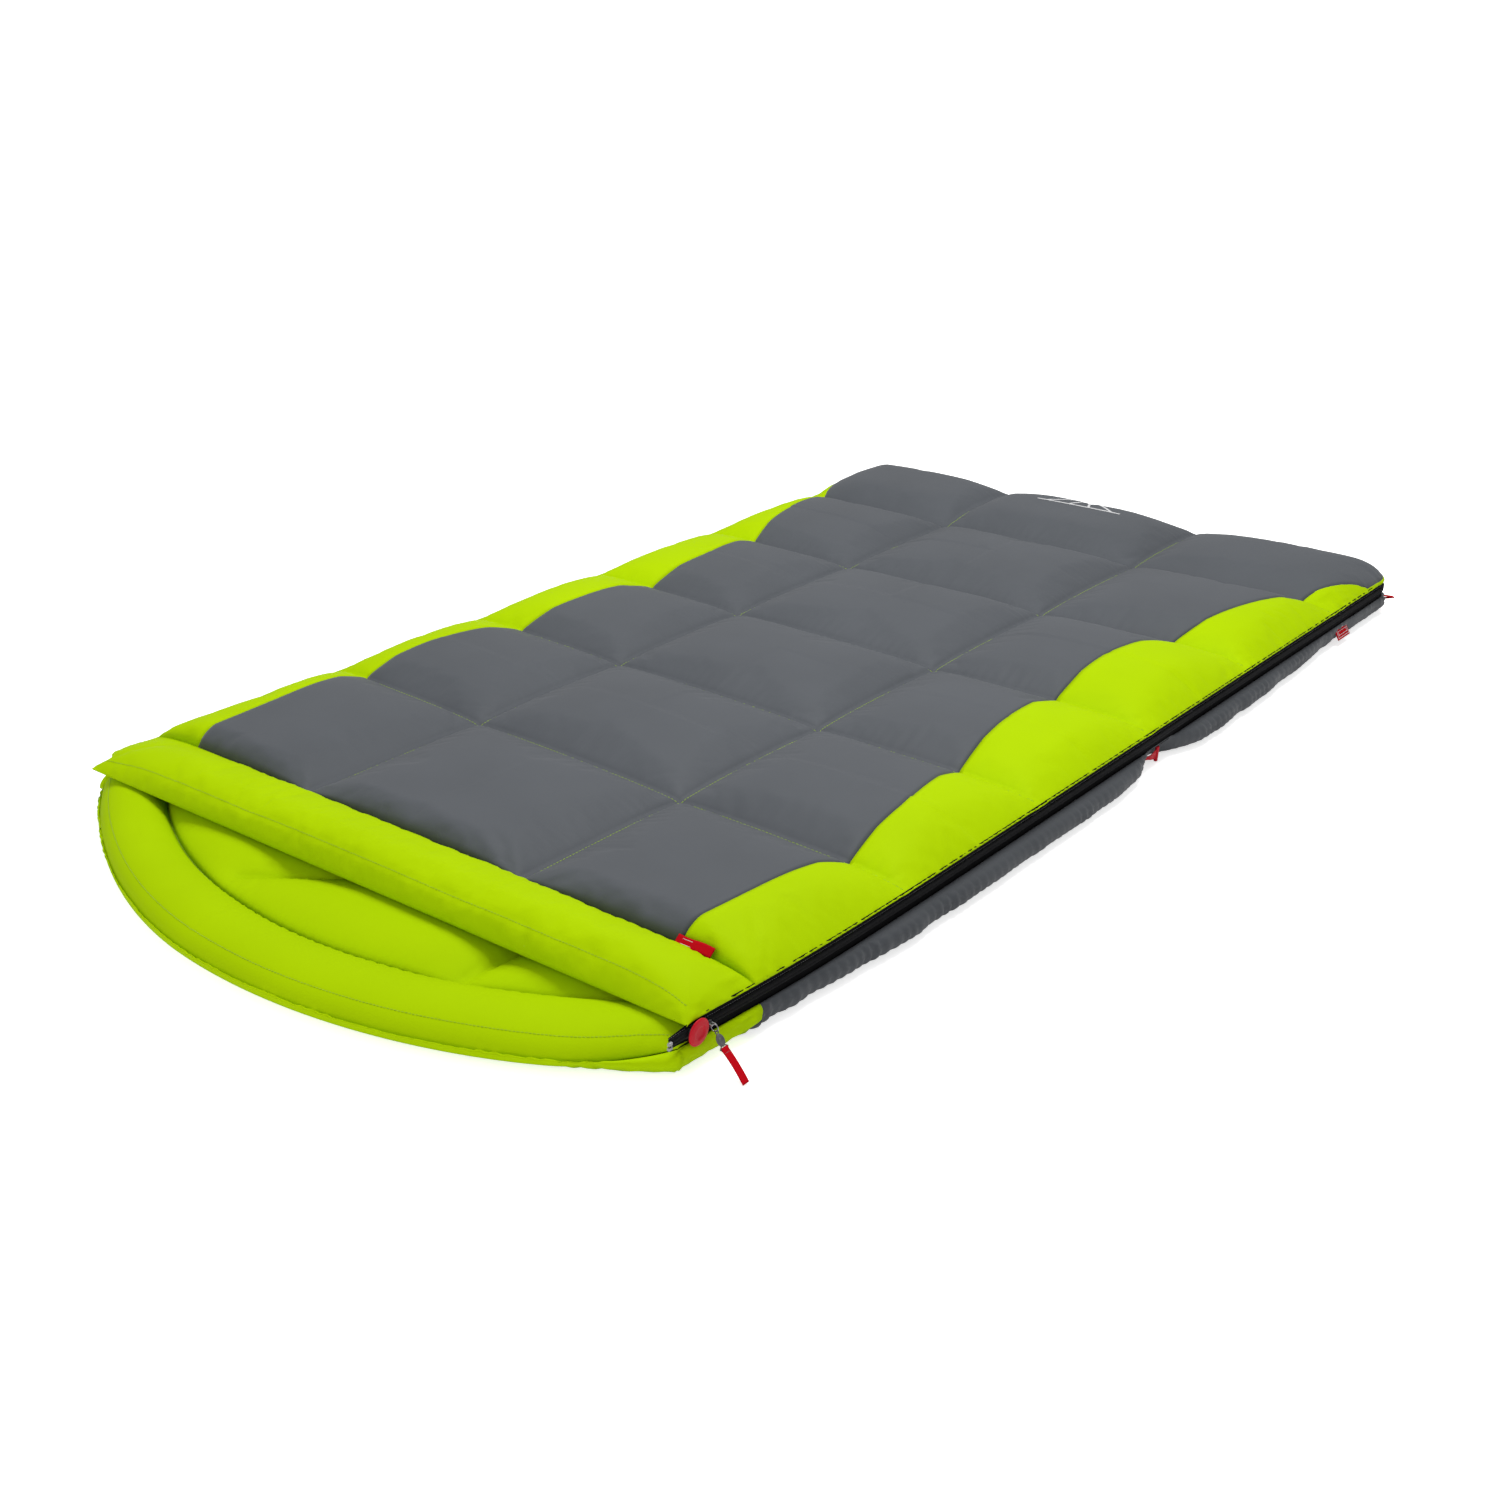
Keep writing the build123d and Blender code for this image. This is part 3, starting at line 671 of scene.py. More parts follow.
top_rows = list(range(1, len(row_lines_up)))
centre = sheet("top_centre_cloth", UP, cell_faces(ROW_U, COL_U, top_rows, (1, 2, 3)), False, CLOTH)
dress(centre, m_grey, "top", ["top_centre_panel"])
fold_side = sheet("top_fold_side_cloth", UP, cell_faces(ROW_U, COL_U, top_rows, (0,)), False, CLOTH)
dress(fold_side, m_lime, "top", ["top_side_panel_fold"])
zip_side = sheet("top_zip_side_cloth", UP, cell_faces(ROW_U, COL_U, top_rows, (4,)), False, CLOTH)
dress(zip_side, m_lime, "top", ["top_side_panel_zip"])
cuff = sheet("top_cuff_cloth", UP, cell_faces(ROW_U, COL_U, (0,), (0, 1, 2, 3, 4)), False, CLOTH)
dress(cuff, m_lime, "top", ["top_cuff_outer"])


def upper_inside():
    """Points of the lining of the upper half, facing down."""
    side, front, nx, ny = outline(XU, YU, mouth_line)
    z = quilt(XU, YU, SEAMS_X, SEAMS_Y, LINING_UP, 0.0475, 11, 0.0006, 0.0008)
    behind = YU - cuff_line(XU)
    z_cuff = 0.0475 + 0.004 * (1 - arch(np.abs(behind), 0.03, 0.6))
    z = np.where(behind >= 0, 0.0525 + (z - 0.0525) * arch(np.clip(behind, 0, 1), 0.05, 0.5), z_cuff)
    z = LINING_UP + (z - LINING_UP) * arch(side, 0.06, 0.6)
    z = 0.0535 + (z - 0.0535) * arch(front, 0.03, 0.5)
    pull_in = 0.004 * np.exp(-side / 0.01)
    return np.stack([XU - nx * pull_in, YU, z], -1)


LINER_UP = upper_inside()
every = tuple(range(5))
liner_up = sheet("top_lining_cloth", LINER_UP, cell_faces(ROW_U, COL_U, top_rows, every), True, CLOTH)
dress(liner_up, m_lining, "top", ["top_liner"])
cuff_in = sheet("top_cuff_lining", LINER_UP, cell_faces(ROW_U, COL_U, (0,), every), True, CLOTH)
dress(cuff_in, m_lining, "top", ["top_cuff_inner"])


def squeezed(z, pick):
    """The lowest or highest of each height and its neighbours."""
    for axis in (0, 1):
        padded = np.concatenate([z.take([0], axis), z, z.take([-1], axis)], axis)
        count = z.shape[axis]
        parts = [padded.take(range(k, k + count), axis) for k in range(3)]
        z = pick(pick(parts[0], parts[1]), parts[2])
    return z


def padding(name, above, below, inside, rows, cols, chosen_rows, gap, shrink):
    """Closed pad of fibre between an upper and a lower sheet of points."""
    chosen = np.flatnonzero(np.isin(rows, chosen_rows))
    trim = min(shrink, len(chosen) // 3)
    r = chosen[trim : len(chosen) - trim : 2]
    c = np.arange(len(cols))[shrink:-shrink:2]
    hi = above[np.ix_(r, c)].copy()
    lo = below[np.ix_(r, c)].copy()
    lo[..., :2] = hi[..., :2] = inside[np.ix_(r, c)][..., :2]
    middle = (hi[..., 2] + lo[..., 2]) / 2
    hi[..., 2] = squeezed(above[..., 2], np.minimum)[np.ix_(r, c)]
    lo[..., 2] = squeezed(below[..., 2], np.maximum)[np.ix_(r, c)]
    pinched = hi[..., 2] - lo[..., 2] < 2.5 * gap
    middle = np.where(pinched, middle, (hi[..., 2] + lo[..., 2]) / 2)
    half = np.clip((hi[..., 2] - lo[..., 2]) / 2 - gap, 0.0002, 1)
    hi[..., 2] = middle + half
    lo[..., 2] = middle - half
    n, m = hi.shape[:2]
    faces = [tuple(f) for f in grid_faces(n, m)] + [tuple(f[::-1] + n * m) for f in grid_faces(n, m)]
    rim = [(0, j) for j in range(m)] + [(i, m - 1) for i in range(1, n)]
    rim += [(n - 1, j) for j in range(m - 2, -1, -1)] + [(i, 0) for i in range(n - 2, 0, -1)]
    ring = [i * m + j for i, j in rim]
    for a, b in zip(ring, ring[1:] + ring[:1]):
        faces.append((b, a, a + n * m, b + n * m))
    obj = mesh_object(name, np.concatenate([hi.reshape(-1, 3), lo.reshape(-1, 3)]), faces)
    shade(obj)
    return obj


fill_up = padding("top_padding", UP, LINER_UP, LINER_UP, ROW_U, COL_U, top_rows, 0.0032, 5)
dress(fill_up, m_batting, "top", ["top_fill"])
cuff_fill = padding("top_cuff_padding", UP, LINER_UP, LINER_UP, ROW_U, COL_U, (0,), 0.0022, 4)
dress(cuff_fill, m_batting, "top", ["top_cuff_fill"])

# ------------------------------------------------ lower half
def hood_edge(x):
    """Outer edge of the hood."""
    return hood_line(x, 0.0)


def hood_seam(x):
    """Sewn line on the inner side of the hood's band."""
    return hood_line(x, HOOD_BAND)


columns_low = [left_hood, flat(SEAMS_X[0]), flat(SEAMS_X[1]), right_x]
row_lines_low = [hood_edge, hood_seam] + [flat(y) for y in SEAMS_Y] + [flat(FOOT_Y)]
XL, YL, ROW_L, COL_L = plan_grid(row_lines_low, columns_low)


def low_sides():
    """Distances in from the lower outline, and the outward direction."""
    side, front, nx, ny = outline(XL, YL, hood_edge)
    return np.clip(np.minimum(side, XL - left_hood(YL)), 0, 1), front, nx, ny


def to_line(X, Y, a, b):
    """Distance to the stretch from a to b, and the place along it."""
    ax, ay = a
    dx, dy = b[0] - ax, b[1] - ay
    length = math.hypot(dx, dy)
    along = np.clip(((X - ax) * dx + (Y - ay) * dy) / length, 0, length)
    return np.hypot(X - ax - along * dx / length, Y - ay - along * dy / length), along


HOOD_SEAMS = (
    ((-0.124, -0.886), (-0.034, -0.803)),
    ((-0.034, -0.803), (0.020, -0.740)),
    ((0.233, -0.890), (0.250, -0.740)),
)
HOOD_PIECING = (
    ((-0.049, -0.938), (-0.113, -0.849)),
    ((-0.113, -0.849), (-0.034, -0.803)),
    ((-0.059, -1.013), (-0.049, -0.938)),
)


def front_edge():
    """Height of the hood's sewn edge: low round the hood, rising to the zip at the corner."""
    return RIM + 0.0180 * np.exp(-np.clip(wall_x(YL) - XL, 0, 1) / 0.04)


def front_push(front):
    """How far the hood's edge stands out past its pattern line."""
    full = 0.005 + 0.0100 * smooth(-0.36, -0.05, XL)
    return full * np.exp(-((front / 0.030) ** 2)) * smooth(0.0, 0.10, wall_x(YL) - XL)


def lower_inside():
    """Points of the lining of the lower half and hood, facing up."""
    side, front, nx, ny = low_sides()
    z = quilt(XL, YL, SEAMS_X, SEAMS_Y, LINING_DOWN, 0.0420, 23, 0.0008, 0.0020)
    away = np.full(XL.shape, 1.0)
    folds = np.zeros(XL.shape)
    for k, (a, b) in enumerate(HOOD_SEAMS):
        d, along = to_line(XL, YL, a, b)
        folds += puckers(along, d, 0.022, 131 + k, 0.014)
        away = np.minimum(away, d)
    z_hood = HOOD_FLOOR + 0.0215 * arch(away, 0.080, 0.55) + 0.0026 * folds
    z_hood -= 0.003 * np.exp(-((away / 0.005) ** 2))
    for a, b in HOOD_PIECING:
        z_hood -= 0.0014 * np.exp(-((to_line(XL, YL, a, b)[0] / 0.0028) ** 2))
    share = smooth(-0.60, -0.70, YL)
    z = z * (1 - share) + z_hood * share
    seam = (YL - hood_seam(XL)) * 0.85
    z = HOOD_FLOOR + (z - HOOD_FLOOR) * arch(np.abs(seam), 0.060, 0.6)
    z_band = HOOD_FLOOR + 0.0225 * arch(np.abs(seam), 0.040, 0.6)
    z_band -= 0.0014 * np.exp(-((to_line(XL, YL, *HOOD_PIECING[2])[0] / 0.0028) ** 2))
    z = np.where(seam < 0, z_band, z)
    strength = 0.5 + 0.9 * smooth(0.35, 0.0, np.abs(XL + 0.02))
    z += 0.0030 * strength * puckers(XL, np.abs(seam), 0.019, 151, 0.0145) * smooth(0.004, 0.03, front)
    z += 0.0013 * ripple(XL, YL, 0.09, 171)
    z += 0.0035 * corner_folds(XL, YL, (FOLD_X - 0.01, MOUTH_Y - 0.03), 0.05, 211)
    z = 0.0330 + (z - 0.0330) * arch(side, 0.05, 0.55)
    rim_z = front_edge() + 0.0010
    z = rim_z + (z - rim_z) * arch(front, 0.038, 0.5)
    z += 0.0009 * puckers(XL, front, 0.012, 221, 0.016)
    pull_in = 0.004 * np.exp(-side / 0.01)
    push = front_push(front)
    return np.stack([XL - nx * pull_in * (front > 0.03) + nx * push, YL + ny * push, z], -1)


TOGGLE_PLACE = (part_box("toggle_bar")[0].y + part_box("toggle_bar")[1].y) / 2
LABEL_PLACE = (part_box("side_label")[0].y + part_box("side_label")[1].y) / 2


FULLNESS = (
    (-0.84, 0.45), (-0.70, 0.50), (-0.60, 0.62), (-0.42, 1.0),
    (0.34, 1.0), (0.62, 0.72), (0.74, 0.42), (1.0, 0.40),
)


def swelling(y):
    """How full the side wall is along the bag: tight at the mouth and where small parts are sewn on."""
    along, fullness = zip(*FULLNESS)
    full = np.interp(y, along, fullness)
    ahead = y - TOGGLE_PLACE
    pinch = np.exp(-((ahead / np.where(ahead < 0, 0.070, 0.055)) ** 2))
    full = full * (1 - 1.26 * pinch)
    return full * (1 - 0.45 * np.exp(-(((y - LABEL_PLACE) / 0.040) ** 4)))


def lower_outside():
    """Points of the outer cloth of the lower half and hood: side walls and underside."""
    side, front, nx, ny = low_sides()
    under = np.minimum(side, front)
    t = np.clip(under / WALL_DEPTH, 0, 1)
    z = quilt(XL, YL, SEAMS_X, SEAMS_Y, 0.0105, GROUND, 29, 0.0008, 0.0015)
    edge = front_edge() + (EDGE_DOWN - front_edge()) * arch(front, 0.038, 0.5)
    fall = (1 - np.cos(math.pi * np.clip(t / 0.85, 0, 1))) / 2
    z = edge * (1 - fall) + np.where(t < 1, GROUND, z) * fall
    along = XL * (np.abs(nx) < 0.7) + YL * (np.abs(nx) >= 0.7)
    gathers = puckers(along, np.abs(under - 0.010), 0.02, 181, 0.0150) + 0.5 * wander(along, 0.03, 187)
    fold_side = smooth(0.0, 0.3, nx * (XL < 0) * -1)
    full = BULGE * swelling(YL) * (1 - 0.72 * fold_side)
    full = np.where(front < side, 0.003 + 0.0145 * smooth(0.12, 0.0, wall_x(YL) - XL), full)
    swell = np.sin(math.pi * t) ** 0.75 * full
    tuck = WALL_DEPTH * (t**2.6 - t)
    out = (swell - tuck) * (t < 1)
    calm = 1 - np.exp(-((np.abs(YL - TOGGLE_PLACE) / 0.030) ** 4))
    out += 0.0036 * calm * gathers * smooth(0.0, 0.006, under) * smooth(1.0, 0.6, t)
    out += front_push(front)
    out += 0.0024 * np.exp(-side / 0.004) * smooth(0.0, 0.02, front)
    return np.stack([XL + nx * out, YL + ny * out, np.maximum(z, 0.0004)], -1)


LOW_OUT = lower_outside()
LOW_IN = lower_inside()
low_rows = list(range(1, len(row_lines_low)))
all_low = (0, 1, 2)
under = sheet("bottom_outer_cloth", LOW_OUT, cell_faces(ROW_L, COL_L, low_rows, all_low), True, CLOTH)
dress(under, m_wall, "base", ["bottom_outer_shell"])
liner_low = sheet("bottom_lining_cloth", LOW_IN, cell_faces(ROW_L, COL_L, low_rows, all_low), False, CLOTH)
dress(liner_low, m_lining, "base", ["bottom_liner"])
hood_out = sheet("hood_cuff_cloth", LOW_OUT, cell_faces(ROW_L, COL_L, (0,), all_low), True, CLOTH)
dress(hood_out, m_lime, "base", ["hood_cuff_outer"])
hood_in = sheet("hood_cuff_lining", LOW_IN, cell_faces(ROW_L, COL_L, (0,), all_low), False, CLOTH)
dress(hood_in, m_lining, "base", ["hood_cuff_inner"])
fill_low = padding("bottom_padding", LOW_IN, LOW_OUT, LOW_IN, ROW_L, COL_L, low_rows, 0.0022, 8)
dress(fill_low, m_batting, "base", ["bottom_fill"])
fill_hood = padding("hood_cuff_padding", LOW_IN, LOW_OUT, LOW_IN, ROW_L, COL_L, (0,), 0.0026, 6)
dress(fill_hood, m_batting, "base", ["hood_cuff_fill"])

# ------------------------------------------------ small solids
UPWARD = np.array([0.0, 0.0, 1.0])


def outward(obj):
    """Turns the faces of a closed solid outwards."""
    work = bmesh.new()
    work.from_mesh(obj.data)
    bmesh.ops.recalc_face_normals(work, faces=work.faces)
    work.to_mesh(obj.data)
    work.free()
    shade(obj)
    return obj


def sweep(name, path, u, v, profile, loop=False):
    """Solid made by carrying a closed profile along a path; u and v are the profile's directions."""
    path = np.asarray(path, float)
    n = len(path)
    u = np.broadcast_to(u, path.shape)
    v = np.broadcast_to(v, path.shape)
    profile = np.asarray(profile, float)
    m = profile.shape[-2]
    shape = np.broadcast_to(profile, (n, m, 2))
    verts = path[:, None] + shape[..., :1] * u[:, None] + shape[..., 1:] * v[:, None]
    faces = []
    for i in range(n if loop else n - 1):
        for j in range(m):
            after, side = (i + 1) % n, (j + 1) % m
            faces.append((i * m + j, i * m + side, after * m + side, after * m + j))
    if not loop:
        faces += [tuple(range(m)), tuple((n - 1) * m + j for j in range(m))]
    return outward(mesh_object(name, verts, faces))


def round_profile(radius, sides=12):
    """Circle of points."""
    turn = np.arange(sides) * 2 * math.pi / sides
    return np.stack([radius * np.cos(turn), radius * np.sin(turn)], -1)


def flat_profile(width, thick, cuts=1):
    """Flat strip with softened edges; u is its width and v its thickness."""
    w, t = width / 2, thick / 2
    soft = min(w, t) * 0.6
    across = np.linspace(-(w - soft), w - soft, cuts + 1)
    top = [(x, t) for x in across[::-1]]
    bottom = [(x, -t) for x in across]
    return np.array(bottom + [(w, -t + soft), (w, t - soft)] + top + [(-w, t - soft), (-w, -t + soft)])


def lathe(name, centre, axis, first, profile, stretch=(1.0, 1.0), sides=64):
    """Round or oval solid from (radius, height) pairs about an axis."""
    axis, first = np.asarray(axis, float), np.asarray(first, float)
    second = np.cross(axis, first)
    turn = np.arange(sides) * 2 * math.pi / sides
    ring = first * (np.cos(turn) * stretch[0])[:, None] + second * (np.sin(turn) * stretch[1])[:, None]
    verts = [np.asarray(centre) + axis * h + ring * r for r, h in profile]
    rings = len(profile)
    faces = []
    for i in range(rings - 1):
        for j in range(sides):
            side = (j + 1) % sides
            faces.append((i * sides + j, i * sides + side, (i + 1) * sides + side, (i + 1) * sides + j))
    faces += [tuple(range(sides)), tuple((rings - 1) * sides + j for j in range(sides))]
    return outward(mesh_object(name, np.concatenate(verts), faces))


def bars(name, centres, along, out, size):
    """Many small rounded bars as one object. size is the length, width and rise of one bar."""
    length, width, rise = size
    turns = np.linspace(0, math.pi, 5)
    stations = ((-0.5, 0.3), (-0.36, 1.0), (0.36, 1.0), (0.5, 0.3))
    local = np.array([
        (k * length, w * width / 2 * math.cos(t), w * rise * math.sin(t)) for k, w in stations for t in turns
    ])
    across = np.cross(out, along)
    axes = np.stack([along, across, out], 1)
    verts = centres[:, None] + np.einsum("pk,nkc->npc", local, axes)
    one = []
    for k in range(3):
        for j in range(5):
            start, side = 5 * k, (j + 1) % 5
            one.append((start + j, start + side, start + 5 + side, start + 5 + j))
    one += [(4, 3, 2, 1, 0), (15, 16, 17, 18, 19)]
    faces = [tuple(v + 20 * i for v in face) for i in range(len(centres)) for face in one]
    return outward(mesh_object(name, verts, faces))


def follow(points, pitch, length, lift):
    """Stitch centres, directions and outward directions along a row of points."""
    points = np.asarray(points)
    run = np.concatenate([[0], np.cumsum(np.linalg.norm(np.diff(points, axis=0), axis=1))])
    at = np.arange(pitch, run[-1] - pitch, pitch)

    def place(distance):
        return np.stack([np.interp(distance, run, points[:, k]) for k in range(3)], -1)

    along = place(at + length / 2) - place(at - length / 2)
    along /= np.linalg.norm(along, axis=1, keepdims=True)
    out = UPWARD - along * along[:, 2:]
    out /= np.linalg.norm(out, axis=1, keepdims=True)
    return place(at) + out * lift, along, out


def stitches(name, rows, size, pitch, lift):
    """Sewing thread along rows of surface points."""
    parts = [follow(row, pitch, size[0], lift) for row in rows]
    return bars(name, *[np.concatenate([p[k] for p in parts]) for k in range(3)], size)


# ------------------------------------------------ sewing thread on both halves
THREAD = (0.0040, 0.0009, 0.0006)
THREAD_PITCH = 0.0055
THREAD_LIFT = 0.0002
HEM_THREAD = (0.0032, 0.0007, 0.0005)
HEM_PITCH = 0.0042
first_row = on_row[0]
rows = [UP[r, 3:-3] for r in on_row[1:]] + [UP[first_row + 2 : -3, c] for c in sewn_cols]
quilt_thread = stitches("top_quilting_thread", rows, THREAD, THREAD_PITCH, THREAD_LIFT)
dress(quilt_thread, m_thread, "top", [])
hem = np.argmin(np.abs(YU[:, XU.shape[1] // 2] - mouth_line(0.0) - HEM))
cuff_thread = stitches("top_cuff_thread", [UP[hem, 6:-6]], HEM_THREAD, HEM_PITCH, THREAD_LIFT)
dress(cuff_thread, m_thread, "top", [])
low_row = np.flatnonzero(np.diff(ROW_L) > 0)
low_col = np.flatnonzero(np.diff(COL_L) > 0)
rows = [LOW_IN[r, 4:-4] for r in low_row] + [LOW_IN[low_row[0] + 60 : -4, c] for c in low_col]
low_thread = stitches("bottom_quilting_thread", rows, THREAD, THREAD_PITCH, THREAD_LIFT)
dress(low_thread, m_thread, "base", [])
rim = np.argmin(np.abs(YL[:, XL.shape[1] // 2] - hood_edge(0.0) - 0.011))
hood_thread = stitches("hood_edge_thread", [LOW_IN[rim, 6:-6]], HEM_THREAD, HEM_PITCH, THREAD_LIFT)
dress(hood_thread, m_thread, "base", [])
seam_lift = LINER_UP.copy()
seam_lift[..., 2] = 2 * MID_Z - seam_lift[..., 2]
rows = [seam_lift[r, 4:-4] for r in on_row[1:]] + [seam_lift[first_row + 4 : -4, c] for c in sewn_cols]
lining_thread = stitches("top_lining_thread", rows, THREAD, THREAD_PITCH, -THREAD_LIFT)
lining_co = np.array([v.co for v in lining_thread.data.vertices])
lining_co[:, 2] = 2 * MID_Z - lining_co[:, 2]
lining_thread.data.vertices.foreach_set("co", lining_co.ravel())
outward(lining_thread)
dress(lining_thread, m_thread, "top", [])


# ------------------------------------------------ zip
def zip_line(step, start):
    """Plan points and outward directions along the zip: side, foot corner, foot."""
    y = np.arange(start, FOOT_Y - CORNER, step)
    slope = (wall_x(y + 0.001) - wall_x(y - 0.001)) / 0.002
    side_out = np.stack([np.ones_like(y), -slope], -1) / np.sqrt(1 + slope**2)[:, None]
    turn = np.arange(0, math.pi / 2, step / CORNER)
    corner_out = np.stack([np.cos(turn), np.sin(turn)], -1)
    corner = np.array([wall_x(FOOT_Y) - CORNER, FOOT_Y - CORNER]) + CORNER * corner_out
    x = np.arange(wall_x(FOOT_Y) - CORNER, ZIP_END, -step)
    foot = np.stack([x, np.full_like(x, FOOT_Y)], -1)
    plan = np.concatenate([np.stack([wall_x(y), y], -1), corner, foot])
    out = np.concatenate([side_out, corner_out, np.tile([0.0, 1.0], (len(x), 1))])
    return plan, np.column_stack([out, np.zeros(len(out))])


def beside_zip(line, distance, height):
    """Points at that distance outside the zip line, at one height."""
    plan, out = line
    return np.column_stack([plan, np.full(len(plan), height)]) + out * distance


TAPE_LOW, TAPE_HIGH = 0.0285, 0.0588
TAPE_GAP = 0.0012  # from the line between the halves to each tape
PITCH = 0.0015
coarse = zip_line(0.006, ZIP_START)
ZIP_HALVES = (
    ("lower", "base", -1, TAPE_LOW, MID_Z - TAPE_GAP),
    ("upper", "top", 1, MID_Z + TAPE_GAP, TAPE_HIGH),
)
for half, body, sign, low, high in ZIP_HALVES:
    narrow = 0.42 + 0.58 * smooth(ZIP_START - 0.004, ZIP_START + 0.075, coarse[0][:, 1])
    scale = np.stack([narrow, np.ones_like(narrow)], -1)
    strip = flat_profile(high - low, 0.0010, 6)[None] * scale[:, None]
    tape_at = beside_zip(coarse, 0.0006, MID_Z)
    tape_at[:, 2] += sign * (TAPE_GAP + (high - low) / 2 * narrow)
    tape = sweep(f"{half}_tape", tape_at, UPWARD, coarse[1], strip)
    dress(tape, m_tape, body, [f"{half}_zip_tape"])
    cord = flat_profile(0.0030, 0.0009)
    core_at = beside_zip(coarse, 0.0017, MID_Z + sign * 0.0029)
    core = sweep(f"{half}_coil_core", core_at, UPWARD, coarse[1], cord)
    dress(core, m_coil, body, [f"{half}_zip_coil"])
    fine = zip_line(PITCH, ZIP_START + (0 if half == "lower" else PITCH / 2))
    teeth_at = beside_zip(fine, 0.0018, MID_Z + sign * 0.0020)
    upright = np.broadcast_to(UPWARD, fine[1].shape)
    teeth = bars(f"{half}_coil_teeth", teeth_at, upright, fine[1], (0.0052, 0.0007, 0.0022))
    dress(teeth, m_coil, body, [f"{half}_zip_coil"])
    sewn = zip_line(0.0034, ZIP_START)
    tangent = np.cross(UPWARD, sewn[1])
    row_at = beside_zip(sewn, 0.0011, MID_Z + sign * 0.0058)
    row = bars(f"{half}_tape_thread", row_at, tangent, sewn[1], (0.0024, 0.0006, 0.0004))
    dress(row, m_row, body, [])

# ------------------------------------------------ cloth that joins the halves along the fold
FOLD_STEP = 0.008
y = np.arange(MOUTH_Y + 0.045, FOOT_Y - CORNER, FOLD_STEP)
turn = np.arange(math.pi, math.pi / 2, -FOLD_STEP / CORNER)
x = np.arange(FOLD_X + CORNER, ZIP_END, 0.002)
plan = np.concatenate([
    np.stack([np.full_like(y, FOLD_X), y], -1),
    np.array([FOLD_X + CORNER, FOOT_Y - CORNER]) + CORNER * np.stack([np.cos(turn), np.sin(turn)], -1),
    np.stack([x, np.full_like(x, FOOT_Y)], -1),
])
away = np.concatenate([
    np.tile([-1.0, 0.0], (len(y), 1)),
    np.stack([np.cos(turn), np.sin(turn)], -1),
    np.tile([0.0, 1.0], (len(x), 1)),
])
rise = np.linspace(0, 1, 13)
run = np.arange(len(plan)) * FOLD_STEP
bow = 0.0018 + 0.0042 * np.sin(math.pi * rise)[None] * (1 + 0.15 * wander(run, 0.03, 301))[:, None]
height = EDGE_DOWN - 0.001 + (EDGE_UP - EDGE_DOWN + 0.002) * rise
fold_points = np.zeros((len(plan), len(rise), 3))
fold_points[..., :2] = plan[:, None] + away[:, None] * bow[..., None]
fold_points[..., 2] = height[None]
fold_cloth = sheet("fold_cloth", fold_points, None, True, CLOTH)
dress(fold_cloth, m_lime, "base", [])

# ------------------------------------------------ draft tube behind the zip
tube_low, tube_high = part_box("draft_tube_shell")
tube_y = np.arange(tube_low.y, tube_high.y, 0.012)
tube_x = (tube_low.x + tube_high.x) / 2 + 0.0008 * wander(tube_y, 0.05, 311)
tube_path = np.stack([tube_x, tube_y, np.full_like(tube_y, MID_Z)], -1)
turn = np.arange(36) * 2 * math.pi / 36
oval = np.stack([0.0305 * np.sign(np.cos(turn)) * np.abs(np.cos(turn)) ** 0.8, 0.0021 * np.sin(turn)], -1)
plump = 1 + 0.06 * wander(tube_y, 0.02, 313)[:, None, None] * np.array([0.1, 1.0])
tube = sweep("draft_tube_cloth", tube_path, (1, 0, 0), UPWARD, oval * plump)
thicken(tube, 0.0005)
dress(tube, m_lining, "top", ["draft_tube_shell"])
tube_core = sweep("draft_tube_padding", tube_path[1:-1], (1, 0, 0), UPWARD, oval * [0.95, 0.62])
dress(tube_core, m_batting, "top", ["draft_tube_fill"])


# ------------------------------------------------ slider, link, pull and ribbon
def finish_node(name, material, width):
    """Gives a frame piece its material and soft edges."""
    obj = bpy.data.objects[name]
    obj.data.materials.clear()
    obj.data.materials.append(material)
    bevel = obj.modifiers.new("edges", "BEVEL")
    bevel.width = width
    bevel.segments = 3
    bevel.limit_method = "ANGLE"
    return obj


finish_node("slider_body", m_black, 0.0004)
for name in ("slider_staple", "lower_zip_stop", "upper_zip_stop"):
    finish_node(name, m_steel, 0.0003)
for name in ("zip_retainer_box", "zip_insert_pin"):
    finish_node(name, m_black, 0.0003)
finish_node("toggle_bar", m_red, 0.0003)

disc_low, disc_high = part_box("plow_guard")
disc_centre = (disc_low.x, (disc_low.y + disc_high.y) / 2, (disc_low.z + disc_high.z) / 2)
DISC = (
    (0.0001, 0.0), (0.0150, 0.0), (0.0154, 0.0003), (0.0155, 0.0010), (0.0151, 0.0016),
    (0.0138, 0.0022), (0.0120, 0.0027), (0.0100, 0.0031), (0.0086, 0.0032), (0.0076, 0.0030),
    (0.0068, 0.0025), (0.0061, 0.0021), (0.0052, 0.0019), (0.0030, 0.0018), (0.0001, 0.0018),
)
guard = lathe("plow_guard_disc", disc_centre, (1, 0, 0), (0, 1, 0), DISC)
dress(guard, m_red, "slider", ["plow_guard"])

PULL_LEAN = math.radians(35)
down = np.array([math.sin(PULL_LEAN), 0, -math.cos(PULL_LEAN)])
face = np.array([math.cos(PULL_LEAN), 0, math.sin(PULL_LEAN)])
wide = np.array([0.0, 1.0, 0.0])
link_low, link_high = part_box("pull_link")
LINK_RADIUS = 0.0046
link_centre = (np.array(link_low) + np.array(link_high)) / 2
turn = np.arange(48) * 2 * math.pi / 48
radial = np.cos(turn)[:, None] * down + np.sin(turn)[:, None] * face
link_path = link_centre + LINK_RADIUS * radial
link_ring = sweep("link_ring", link_path, radial, wide, round_profile(0.0006), True)
dress(link_ring, m_steel, "link", ["pull_link"])

